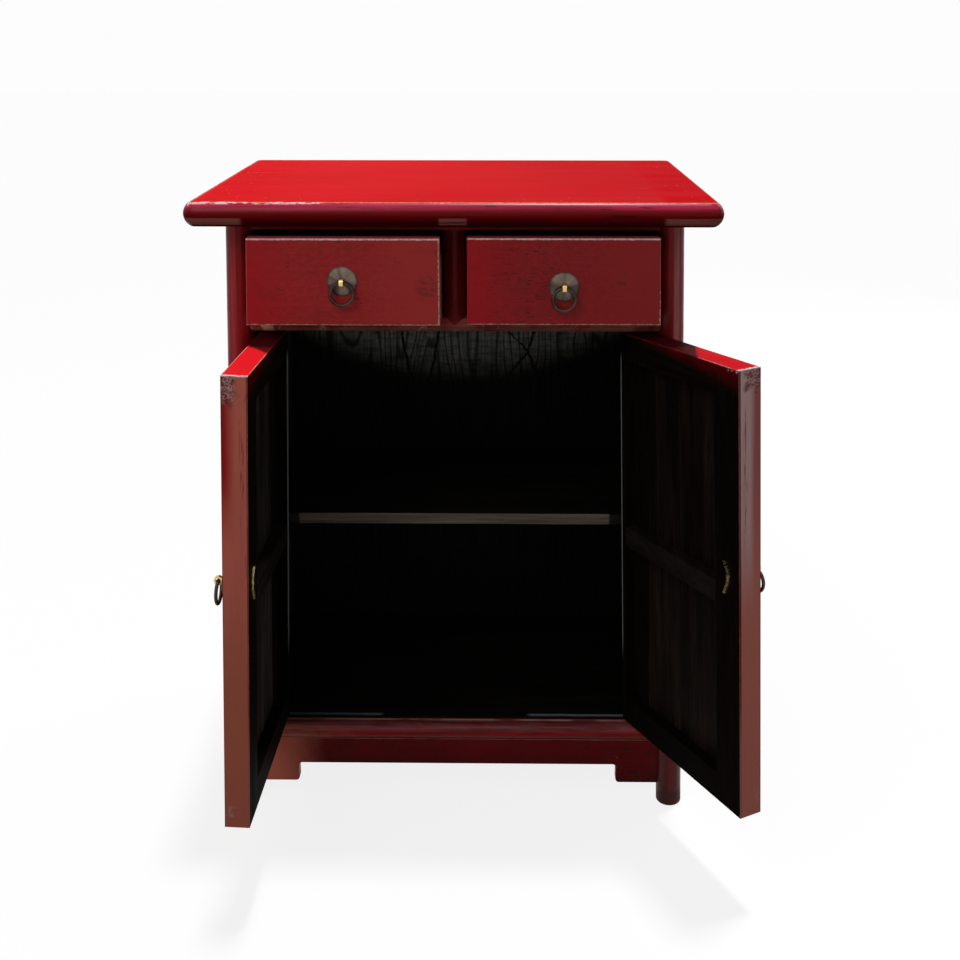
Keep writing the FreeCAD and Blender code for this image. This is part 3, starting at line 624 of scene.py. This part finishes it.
def door_inside(m, side, p, place, grain, to_top):
    """Black inside of a door: thin near its upper edge, with a painted highlight along the hinge
    arris.
    """
    x, y, z = place
    thin_red = (0.120, 0.0030, 0.0060)
    black, black_rough, _ = black_coat(m, p, grain)
    thin = m.times(m.minus(DOOR_HIGH, z), m.ramp(x, 0.150, 0.010, 100.0, 40.0))
    thin = m.times(m.ramp(thin, 1.0, 0.02), m.ramp(x, 0.175, 0.090))
    thin = m.times(thin, m.ramp(m.noise(p, 40.0, 4.0, 0.6), 0.25, 0.55, 0.35, 1.0))
    black = m.blend(m.times(thin, 0.9), black, thin_red)
    # Painted highlight: a thin grey line along the hinge-side arris stands in for light catching
    # it; worn names its tone.
    hinge = m.plus(m.times(z, -math.tan(LEAN)), PIVOT.x + 0.0127)
    if side == "left":
        arris = m.ramp(m.minus(hinge, x), 0.0075, 0.0060)
        worn = (0.460, 0.450, 0.435)
    else:
        arris = m.ramp(m.off(x, hinge), 0.0013, 0.0006)
        worn = (0.340, 0.330, 0.315)
    arris = m.times(arris, m.times(m.ramp(z, 0.17, 0.21), m.ramp(z, 0.535, 0.520)))
    black = m.blend(m.times(arris, 0.9), black, worn)
    if side == "right":
        spot = m.ramp(m.noise(p, 190.0, 3.0, 0.6), 0.46, 0.54)
        spot = m.times(spot, m.ramp(to_top, 0.0042, 0.0030))
        spot = m.times(spot, m.times(m.ramp(x, 0.020, 0.013), m.ramp(y, -0.1195, -0.1175)))
        black = m.blend(m.times(spot, 0.85), black, PALE)
    return black, black_rough


def door_frame_material(side, along):
    """Stiles and rails of a door: red outside and on the edges, black inside, with a painted shadow
    of the top across the door's upper edge.
    """
    m = Maker("red_door_" + side + "_" + along)
    p = door_place(m, side)
    x, y, z = m.split(p)
    grain = ALONG_X if along == "rail" else ALONG_Z
    # Lit and shaded tones of the door's upper edge: painted light and painted shadow of the top.
    if side == "left":
        lit, shaded = (0.770, 0.0130, 0.0180), (0.075, 0.0040, 0.0070)
        shaded_from, slant = 0.089, -1.2
        band_wide, band_tone = 0.0012, (0.210, 0.030, 0.030)
        rim_tone = (0.720, 0.380, 0.320)
    else:
        lit, shaded = (0.560, 0.0020, 0.0085), (0.036, 0.0018, 0.0030)
        shaded_from, slant = 0.0615, -1.65
        band_wide, band_tone = 0.0019, (0.150, 0.012, 0.014)
        rim_tone = (0.560, 0.260, 0.210)
    lit_arris_tone = (0.820, 0.480, 0.460)

    colour, rough, height = red_coat(m, p, grain, DOOR_RED, DOOR_RED_DEEP)
    free = m.ramp(x, 0.0032, 0.0016)
    across = m.plus(y, m.swing(m.noise(p, 26.0, 3.0, 0.5, (1, 1, 0.12)), 0.012))
    streak = m.noise(p, 130.0, 3.0, 0.6, (1, 1, 0.05))
    tone = free_edge_tone(m, side, p, across, z, streak)
    tone = m.blend(m.times(m.ramp(y, -0.1390, -0.1399), 0.7), tone, RED_DEEP)
    colour = m.blend(m.times(free, 0.95), colour, tone)

    # Painted shadow: the upper edge is dark towards the hinge, where the top shades it, and lit
    # towards the free end.
    roof = m.ramp(z, DOOR_HIGH - 0.0017, DOOR_HIGH - 0.0005)
    roof = m.times(roof, m.minus(1.0, free))
    from_inner = m.minus(y, DOOR_INNER)
    inward = m.minus(x, m.plus(m.times(from_inner, slant), shaded_from))
    upper = m.blend(m.ramp(inward, -0.003, 0.006), lit, shaded)
    colour = m.blend(m.times(roof, 0.95), colour, upper)
    outer = m.minus(y, DOOR_OUTER)
    colour = crackled_corner(m, side, p, outer, z, colour, free)
    colour = scuffed_foot(m, side, p, y, z, colour, free)

    to_free = m.off(x, DOOR_FREE)
    to_top = m.size(m.minus(DOOR_HIGH, z))
    to_outer, to_inner = m.size(outer), m.size(from_inner)
    band = m.plus(to_inner, m.swing(streak, 0.0012))
    band = m.ramp(band, band_wide + 0.0004, band_wide - 0.0004)
    band = m.times(band, free, m.ramp(z, 0.16, 0.26, 0.3, 0.9))
    coat = (m.blend(band, colour, band_tone), rough, height)
    coat = edge_wear_and_highlight(m, p, coat, m.most(to_free, to_inner), 0.0005, rim_tone, 0.45, 0.43, 0.42, 0.2)
    # Painted highlight over wear: a pale line along the upper arrises, only where the door top is
    # painted lit.
    lit_part = m.ramp(inward, 0.006, -0.006, 0.05, 0.85)
    to_side = m.least(to_outer, to_inner)
    coat = edge_wear_and_highlight(m, p, coat, m.most(to_top, to_side), 0.0007, lit_arris_tone, lit_part, 0.19, 0.32)
    on_top = m.most(m.times(to_free, 0.25), to_top)
    colour, rough, height = edge_wear_and_highlight(m, p, coat, on_top, 0.0010, CHALK, 0.9, 0.07, 0.32)

    near = m.least(x, m.minus(DOOR_HIGH, z))
    overlap = m.minus(m.noise(p, 60.0, 4.0, 0.6), 0.56)
    overlap = m.plus(near, m.times(overlap, 0.0012))
    face = m.times(m.ramp(y, -0.1168, -0.1162), m.ramp(overlap, 0.0009, 0.0016))
    walls = m.least(near, m.minus(z, DOOR_LOW))
    recess = m.times(m.ramp(walls, 0.026, 0.028), m.ramp(y, -0.1335, -0.1320))
    mask = m.most(face, recess)
    black, black_rough = door_inside(m, side, p, (x, y, z), grain, to_top)
    colour = m.blend(mask, colour, black)
    rough = m.mixed(mask, rough, black_rough)
    return m.finish((colour, rough, height), 0.2, 0.0005, Specular_IOR_Level=0.004)


def door_panel_material(side):
    """Door panel: lacquer outside, a brown-black stain that thins towards the bottom inside."""
    m = Maker("red_door_panel_" + side)
    p = door_place(m, side)
    _, y, z = m.split(p)
    # Painted light: the left door's stain is lighter, to show its inside face lit.
    if side == "left":
        stains = (0.0600, 0.0500, 0.0430), (0.0140, 0.0115, 0.0096)
    else:
        stains = (0.0190, 0.0115, 0.0085), (0.0050, 0.0034, 0.0026)
    colour, rough, height = red_coat(m, p, ALONG_Z, shade(DOOR_RED, 0.88),
                                     shade(DOOR_RED_DEEP, 0.88))
    black, black_rough, black_height = black_coat(m, p, ALONG_Z, *stains)
    black = m.darker(black, m.ramp(z, 0.14, 0.42, 1.45, 0.85))
    inside = m.ramp(y, -0.1335, -0.1325)
    colour = m.blend(inside, colour, black)
    rough = m.mixed(inside, rough, black_rough)
    height = m.mixed(inside, height, black_height)
    return m.finish((colour, rough, height), 0.25, 0.0006, Specular_IOR_Level=0.02)


# Drawers
def drawer_marks(m, side, p, x, z, low, high, colour, height):
    """Dark dashes in the lacquer of a drawer front, and a smear near its right end."""
    mark, smeared = (0.085, 0.011, 0.012), (0.075, 0.020, 0.017)
    dashes = m.noise(p, 430.0, 3.0, 0.6, (0.30, 1, 1))
    share = m.noise(p, 20.0, 2.0, 0.5)
    if side == "right":
        share = m.plus(share, m.ramp(x, low.x + 0.060, low.x + 0.010, 0.0, 0.14))
        dashes = m.times(m.ramp(dashes, 0.57, 0.63), m.ramp(share, 0.42, 0.60, 0.20, 0.95))
        brown, smear_at, flatter = (0.325, 0.0190, 0.0190), (0.79, 0.49), 3.6
    else:
        dashes = m.times(m.ramp(dashes, 0.59, 0.66), m.ramp(share, 0.48, 0.64, 0.10, 0.70))
        brown, smear_at, flatter = (0.440, 0.0360, 0.0330), (0.93, 0.43), 0.9
    colour = m.blend(dashes, colour, mark)
    colour = m.blend(m.ramp(x, low.x + 0.10, high.x - 0.02, 0.0, 0.8), colour, brown)
    left_end = m.ramp(x, low.x + 0.060, low.x, 0.0, 0.80)
    colour = m.blend(left_end, colour, (0.450, 0.0080, 0.0150))
    stain = m.noise(p, 38.0, 4.0, 0.6, (0.7, 1, 1))
    colour = m.darker(colour, m.ramp(stain, 0.56, 0.76, 1.0, 0.80))
    smear_x = m.minus(x, low.x + smear_at[0] * (high.x - low.x))
    smear_z = m.minus(z, low.z + smear_at[1] * (high.z - low.z))
    far = m.length(smear_x, m.times(smear_z, flatter))
    if side == "left":
        hatch = m.noise(p, 330.0, 3.0, 0.6, (0.35, 1, 1))
        blot = m.times(m.ramp(far, 0.016, 0.006), m.ramp(hatch, 0.48, 0.58, 0.10, 0.75))
    else:
        blot = m.times(m.ramp(far, 0.0062, 0.0045), 0.85)
    colour = m.blend(m.times(blot, 0.75), colour, smeared)
    return colour, m.minus(height, m.times(dashes, 0.6))


def drawer_front_material(side):
    """Drawer front: lacquer with a fine weave, bare along its arrises, plain wood behind, with a
    painted highlight on its upper arris and painted light on its top face.
    """
    m = Maker("red_drawer_" + side)
    p = drawer_place(m, side)
    x, y, z = m.split(p)
    low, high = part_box("drawer_" + side + "_front")
    # The left front is lighter than the right: painted light, as more light falls on the left
    # drawer.
    if side == "left":
        light, deep = (0.440, 0.0240, 0.0250), (0.385, 0.0220, 0.0230)
    else:
        light, deep = (0.340, 0.0150, 0.0170), (0.300, 0.0130, 0.0150)
    bare_tan, highlight_pale = (0.960, 0.560, 0.440), (0.980, 0.700, 0.680)
    lit_top_strip = (0.930, 0.0950, 0.1250)
    colour, rough, height = red_coat(m, p, ALONG_X, light, deep, 0.09, 0.45, 0.04)
    mottle = m.noise(p, 300.0, 4.0, 0.7, (0.6, 1, 1))
    colour = m.darker(colour, m.ramp(mottle, 0.34, 0.64, 0.84, 1.10))
    colour, height = drawer_marks(m, side, p, x, z, low, high, colour, height)
    # Painted light: the faces behind the front, seen as its top face, are a bright crimson as if
    # sunlit.
    colour = m.blend(m.ramp(y, -0.1392, -0.1380), colour, lit_top_strip)
    to_front = m.off(y, low.y + OUT[side])
    left, right = (m.most(to_front, m.off(x, end)) for end in (low.x, high.x))
    lower, upper = (m.most(to_front, m.off(z, end)) for end in (low.z, high.z))
    coat = (colour, rough, height)
    coat = edge_wear_and_highlight(m, p, coat, left, 0.0010, shade(TAN, 0.5), 0.5, 0.53, 0.52)
    coat = edge_wear_and_highlight(m, p, coat, right, 0.0017, bare_tan, 0.9, 0.47, 0.30, 0.35)
    coat = edge_wear_and_highlight(m, p, coat, lower, 0.0016, bare_tan, 0.9, 0.29, 0.26, 0.35)
    coat = edge_wear_and_highlight(m, p, coat, upper, 0.0016, TAN, 0.6, 0.31, 0.42, 0.3)
    # Painted highlight: a pale pink line along the upper arris, over the tan wear.
    colour, rough, height = edge_wear_and_highlight(m, p, coat, upper, 0.0016, highlight_pale, 0.95, 0.21, 0.16, 0.2)
    wood, wood_rough, _ = wood_coat(m, p, ALONG_X)
    inside = m.ramp(y, -0.1250, -0.1240)
    colour = m.blend(inside, colour, wood)
    rough = m.mixed(inside, rough, wood_rough)
    return m.finish((colour, rough, height), 0.25, 0.0005, Specular_IOR_Level=0.13)


def wood_material(name, along):
    m = Maker(name)
    coat = wood_coat(m, m.place, along)
    return m.finish(coat, 0.35, 0.0006, Specular_IOR_Level=0.3)


# Boards inside the cupboard
def black_material(name, along):
    m = Maker(name)
    coat = black_coat(m, m.place, along)
    return m.finish(coat, 0.35, 0.0007, Specular_IOR_Level=0.06)


def bottom_material():
    """Black bottom board with two painted reflection streaks at its front edge."""
    m = Maker("black_bottom")
    p = m.place
    x, y, z = m.split(p)
    worn = (0.170, 0.185, 0.220)
    colour, rough, height = black_coat(m, p, ALONG_X)
    # Painted reflection: two pale bluish strips at the front edge; worn names their tone.
    run = m.swing(m.noise(p, 130.0, 3.0, 0.6, (0.2, 1, 1)), 0.004)
    reflection_strip = m.ramp(m.size(m.plus(m.minus(y, BOTTOM_STREAK_Y), run)), 0.0034, 0.0012)
    ends = m.most(m.ramp(x, -0.083, -0.090), m.ramp(x, 0.078, 0.085))
    reflection_strip = m.times(reflection_strip, ends, m.ramp(z, 0.0965, 0.0972))
    colour = m.blend(m.times(reflection_strip, 0.9), m.darker(colour, 0.5), worn)
    return m.finish((colour, rough, height), 0.35, 0.0007, Specular_IOR_Level=0.06)


def shelf_material():
    """Black shelf whose front edge is worn down to grey wood between its black ends."""
    m = Maker("black_shelf")
    p = m.place
    x, y, _ = m.split(p)
    grey, grey_light = (0.085, 0.066, 0.048), (0.190, 0.160, 0.125)
    colour, rough, height = black_coat(m, p, ALONG_X)
    streak = m.noise(p, 240.0, 4.0, 0.6, (0.03, 1, 1))
    bare = m.blend(m.ramp(streak, 0.32, 0.68), grey, grey_light)
    worn = m.ramp(m.plus(y, m.swing(streak, 0.002)), -0.0850, -0.0862)
    worn = m.times(worn, m.times(m.ramp(x, -0.1790, -0.1765), m.ramp(x, 0.1715, 0.1690)))
    colour = m.blend(worn, m.darker(colour, 0.6), bare)
    rough = m.mixed(worn, rough, 0.75)
    height = m.plus(height, streak)
    return m.finish((colour, rough, height), 0.35, 0.0007, Specular_IOR_Level=0.08)


def bold_grain(m, p, x, z):
    """The boldest grain lines of the back boards, two long ones and four that meet at a knot."""
    waver = m.swing(m.noise(p, 60.0, 3.0, 0.6), 0.010)
    above = m.ramp(z, KNOT_Z - 0.001, KNOT_Z + 0.001)
    below = m.ramp(z, KNOT_Z + 0.001, KNOT_Z - 0.001)
    lines = [(-0.0763, 0.487, -0.195, None), (-0.0289, 0.487, 0.197, None)]
    for slope, part in ((-0.93, above), (0.79, below), (0.23, above), (-0.39, below)):
        lines.append((KNOT_X, KNOT_Z, slope, part))
    bold = 0.0
    for place, level, slope, part in lines:
        line = m.minus(m.minus(x, place), m.times(m.minus(z, level), slope))
        line = m.ramp(m.size(m.plus(line, waver)), 0.0024, 0.0008)
        bold = m.most(bold, m.times(line, part) if part else line)
    return bold


def back_panel_material():
    """Boards with a bold open grain, grey near the top of the opening where light is painted on,
    almost black below.
    """
    m = Maker("black_back")
    low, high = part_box("back_panel")
    p = m.place
    x, y, z = m.split(p)
    lit_grey_dark, lit_grey_light = (0.170, 0.170, 0.148), (0.380, 0.374, 0.332)
    crack_black, board_brown = (0.0015, 0.0014, 0.0013), (0.024, 0.010, 0.0075)
    seam_black = (0.004, 0.003, 0.002)
    fine = m.noise(p, 520.0, 3.0, 0.6, (1, 1, 0.05))
    growth = m.noise(p, 14.0, 2.0, 0.5, (1, 1, 0.17), 0.4)
    rings = m.plus(m.math("SINE", m.times(growth, 95.0)), m.swing(fine, 0.5))
    cracks = m.most(m.ramp(rings, 0.62, 1.0, 0.0, 0.75), bold_grain(m, p, x, z))
    ticks = m.noise(p, 300.0, 2.0, 0.5, (0.22, 1, 1))
    grey = m.blend(m.ramp(fine, 0.35, 0.65), lit_grey_dark, lit_grey_light)
    grey = m.darker(grey, m.ramp(ticks, 0.35, 0.60, 0.65, 1.1))
    # Painted light: a grey band near the top of the opening, brightest in the middle, stands in for
    # light falling in through the front.
    lit_band = m.ramp(m.minus(z, m.times(x, x, 1.4)), 0.418, 0.472)
    colour = m.blend(m.ramp(fine, 0.4, 0.7), shade(SOOT, 0.25), shade(SOOT, 0.5))
    colour = m.blend(lit_band, colour, grey)
    colour = m.blend(cracks, colour, crack_black)
    height = m.minus(m.times(fine, 0.5), m.times(cracks, 1.6))
    rough = m.ramp(fine, 0.3, 0.7, 0.60, 0.78)

    boards, boards_rough, boards_height = wood_coat(m, p, ALONG_Z)
    stain = m.noise(p, 9.0, 3.0, 0.5, (1, 1, 0.2))
    boards = m.blend(m.ramp(stain, 0.35, 0.70, 0.80, 0.93), boards, board_brown)
    seam = m.least(*(m.off(x, place) for place in SEAMS))
    seam = m.ramp(seam, 0.0012, 0.0004)
    boards = m.blend(m.times(seam, 0.9), boards, seam_black)
    boards_height = m.minus(boards_height, m.times(seam, 1.5))
    middle = (low.y + high.y) / 2
    outside = m.ramp(y, middle - 0.001, middle + 0.001)
    colour = m.blend(outside, colour, boards)
    rough = m.mixed(outside, rough, boards_rough)
    height = m.mixed(outside, height, boards_height)
    return m.finish((colour, rough, height), 0.5, 0.0010, Specular_IOR_Level=0.06)


# Metal
def metal_material(name, light, dark, patina, rough_low, rough_high, spots):
    m = Maker(name)
    p = m.place
    cloud = m.noise(p, 160.0, 4.0, 0.6)
    grain = m.noise(p, 900.0, 3.0, 0.6)
    colour = m.blend(m.ramp(cloud, 0.35, 0.65), dark, light)
    stain = m.times(m.ramp(m.noise(p, 75.0, 3.0, 0.6), 0.48, 0.66), spots)
    colour = m.blend(stain, colour, patina)
    rough = m.ramp(cloud, 0.3, 0.7, rough_low, rough_high)
    rough = m.plus(rough, m.times(stain, 0.15))
    return m.finish((colour, rough, m.plus(grain, cloud)), 0.2, 0.0003, Metallic=1.0)


def plate_material(name, place, centre):
    """Round bronze plate, brushed outwards from its middle, with painted sheen in light and dark
    sectors and painted shade along its rim.
    """
    m = Maker(name)
    p = place(m)
    dark, light, patina = (0.060, 0.044, 0.035), (0.150, 0.112, 0.088), (0.055, 0.034, 0.022)
    x, _, z = m.split(m.mapped(p, (1, 1, 1), (-centre[0], 0, -centre[1])))
    far = m.length(x, z)
    outward = m.add("ShaderNodeCombineXYZ")
    m.put(outward.inputs[0], m.math("DIVIDE", x, m.plus(far, 0.0005)))
    m.put(outward.inputs[1], centre[0] * 9.0)
    m.put(outward.inputs[2], m.math("DIVIDE", z, m.plus(far, 0.0005)))
    # Painted sheen: light and dark sectors stand in for the brushed highlights.
    sector_sheen = m.noise(outward.outputs[0], 1.3, 2.0, 0.5)
    hair = m.noise(outward.outputs[0], 11.0, 3.0, 0.6)
    grain = m.noise(p, 900.0, 3.0, 0.6)
    colour = m.blend(m.ramp(sector_sheen, 0.34, 0.66), dark, light)
    colour = m.darker(colour, m.ramp(hair, 0.30, 0.70, 0.78, 1.15))
    stain = m.ramp(m.noise(p, 130.0, 4.0, 0.6), 0.54, 0.70, 0.0, 0.6)
    colour = m.blend(stain, colour, patina)
    # Painted shade along the rim; the middle is darker as well.
    rim_shade, hub = m.ramp(far, 0.0128, 0.0148, 1.0, 0.45), m.ramp(far, 0.0030, 0.0055, 0.6, 1.0)
    colour = m.darker(colour, m.times(rim_shade, hub))
    rough = m.plus(m.ramp(hair, 0.3, 0.7, 0.34, 0.48), m.times(stain, 0.15))
    height = m.plus(m.times(hair, 0.6), grain)
    return m.finish((colour, rough, height), 0.2, 0.0003, Metallic=1.0)


def middle_of(name):
    low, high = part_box(name)
    return (low.x + high.x) / 2, (low.z + high.z) / 2


def dress(material, *names):
    for name in names:
        for slot in nodes[name].material_slots:
            slot.material = material
        if not nodes[name].material_slots:
            nodes[name].data.materials.append(material)


# Finishes of the fixed pieces
dress(top_material(), "top_front", "top_back", "top_left", "top_right", "top_panel")
dress(carcass_material("red_posts", ALONG_Z, inside_of_post, 0.64, 0.022, post_sheen_and_darkening, 0.16, 0.20),
      "post_front_left", "post_front_right", "post_back_left", "post_back_right")
dress(carcass_material("red_sill", ALONG_X, inside_of_front, 0.55, wear=rubbed_sill, shine=0.10),
      "sill_rail")
dress(carcass_material("red_middle_rail", ALONG_X, inside_of_front, 0.8, wear=rubbed_rail),
      "middle_rail")
# Upper rail and divider: darkened as painted shade under the top and between the drawers.
dress(carcass_material("red_upper_rail", ALONG_X, inside_of_front, 0.5), "upper_front_rail")
dress(carcass_material("red_divider", ALONG_Z, inside_of_front, 0.33, shine=0.10),
      "drawer_divider")
dress(carcass_material("red_apron", ALONG_X, None, 0.52, 0.030, rubbed_apron, 0.06),
      "front_apron")
dress(carcass_material("red_side_apron", ALONG_Y, None, 0.80, 0.030), "side_aprons")
dress(carcass_material("red_side_rails", ALONG_Y, inside_of_side, 0.90, wear=rubbed_side_rail),
      "upper_side_rails", "lower_side_rails")
dress(carcass_material("red_side_panels", ALONG_Z, inside_of_side, 1.0, wear=side_darker_at_border),
      "side_panel_left", "side_panel_right")
dress(carcass_material("red_back_rails", ALONG_X, inside_of_back),
      "upper_back_rail", "lower_back_rail")
dress(back_panel_material(), "back_panel")
dress(black_material("black_boards", ALONG_X), "dust_board", "top_battens")
dress(bottom_material(), "bottom_board")
dress(black_material("black_strips", ALONG_Y), "dust_cleats", "shelf_cleats", "drawer_guides")
dress(shelf_material(), "shelf")

# Finishes of the doors, drawers and pulls
wood_y = wood_material("bare_wood_sides", ALONG_Y)
wood_x = wood_material("bare_wood_boards", ALONG_X)
brass = metal_material("bright_brass", (0.90, 0.70, 0.32), (0.70, 0.50, 0.18),
                       (0.26, 0.16, 0.06), 0.20, 0.36, 0.3)
iron = metal_material("dark_iron", (0.062, 0.043, 0.039), (0.030, 0.021, 0.019),
                      (0.050, 0.025, 0.017), 0.34, 0.55, 0.5)
for side in ("left", "right"):
    door, drawer = "door_" + side, "drawer_" + side
    dress(door_frame_material(side, "stile"), door + "_hinge_stile", door + "_meeting_stile")
    dress(door_frame_material(side, "rail"), door + "_rails")
    dress(door_panel_material(side), door + "_panel")
    dress(black_material("black_batten_" + side, ALONG_Y), door + "_batten")
    dress(drawer_front_material(side), drawer + "_front")
    dress(wood_y, drawer + "_sides")
    dress(wood_x, drawer + "_back", drawer + "_bottom")
    dress(plate_material("bronze_" + drawer, lambda m: m.place, middle_of(drawer + "_plate")),
          drawer + "_plate")
    dress(plate_material("bronze_" + door, lambda m: door_place(m, side), DOOR_PULL),
          door + "_plate")
    for piece in (drawer, door):
        dress(brass, piece + "_pin")
        dress(iron, piece + "_ring")

# Floor: white where it is looked at, dim where light bounces off it
FLOOR_HALF = 14
floor_mesh = bpy.data.meshes.new("floor")
corners = [(x * FLOOR_HALF, y * FLOOR_HALF, 0) for x, y in ((-1, -1), (1, -1), (1, 1), (-1, 1))]
floor_mesh.from_pydata(corners, [], [(0, 1, 2, 3)])
floor = bpy.data.objects.new("floor", floor_mesh)
scene.collection.objects.link(floor)
paper = bpy.data.materials.new("paper")
paper_tree = Tree(paper)
paper_tree.tree.nodes.clear()


def diffuse(grey):
    node = paper_tree.add("ShaderNodeBsdfDiffuse")
    paper_tree.put(node.inputs["Color"], (grey, grey, grey))
    return node.outputs[0]


def mixed_shader(amount, first, second):
    node = paper_tree.add("ShaderNodeMixShader")
    for socket, value in zip(node.inputs, (amount, first, second)):
        paper_tree.put(socket, value)
    return node.outputs[0]


glow = paper_tree.add("ShaderNodeEmission").outputs[0]
looked_at = mixed_shader(0.84, diffuse(0.93), glow)
surface = mixed_shader(paper_tree.seen(), diffuse(0.12), looked_at)
paper_tree.join(surface, paper_tree.add("ShaderNodeOutputMaterial").inputs["Surface"])
floor_mesh.materials.append(paper)


# Light: a high key, soft boxes at the front left and the back right, an even surround
def lamp(name, kind, energy, aim):
    """A lamp that shines along aim."""
    made = bpy.data.objects.new(name, bpy.data.lights.new(name, kind))
    made.data.energy = energy
    made.rotation_mode = "QUATERNION"
    made.rotation_quaternion = aim.to_track_quat("-Z", "Y")
    scene.collection.objects.link(made)
    return made


key = lamp("key", "SUN", 2.4, Vector((-0.06, -0.10, -1.0)))
key.data.angle = math.radians(5)
lit_point = Vector((0, -0.1, 0.4))
for name, place, watts in (("fill", (-1.0, -1.9, 2.2), 18.0), ("rear", (1.9, 1.5, 1.3), 14.0)):
    box = lamp(name, "AREA", watts, lit_point - Vector(place))
    box.data.shape = "SQUARE"
    box.data.size = 1.5
    box.location = place

# Surround: pale at the horizon, dimmer above, white where it is looked at
world = bpy.data.worlds.new("surround")
scene.world = world
sky = Tree(world)
background = sky.tree.nodes["Background"]
up = sky.split(sky.add("ShaderNodeTexCoord").outputs["Generated"])[2]
fade = sky.ramp(up, 0.02, 0.13, WHITE, 0.12)
sky.put(background.inputs["Strength"], sky.mixed(sky.seen(), fade, WHITE))
sky.put(background.inputs["Color"], (1.0, 1.0, 1.0))

# Camera at the height and angle of the picture
camera = bpy.data.objects.new("camera", bpy.data.cameras.new("camera"))
scene.collection.objects.link(camera)
camera.location = (0.04079, -1.36745, 0.87204)
camera.rotation_euler = (math.radians(90 - 14.57), 0, math.radians(0.69))
camera.data.sensor_width = 36
camera.data.lens = 45.94
camera.data.shift_y = -0.15
scene.camera = camera
scene.view_settings.view_transform = "Standard"
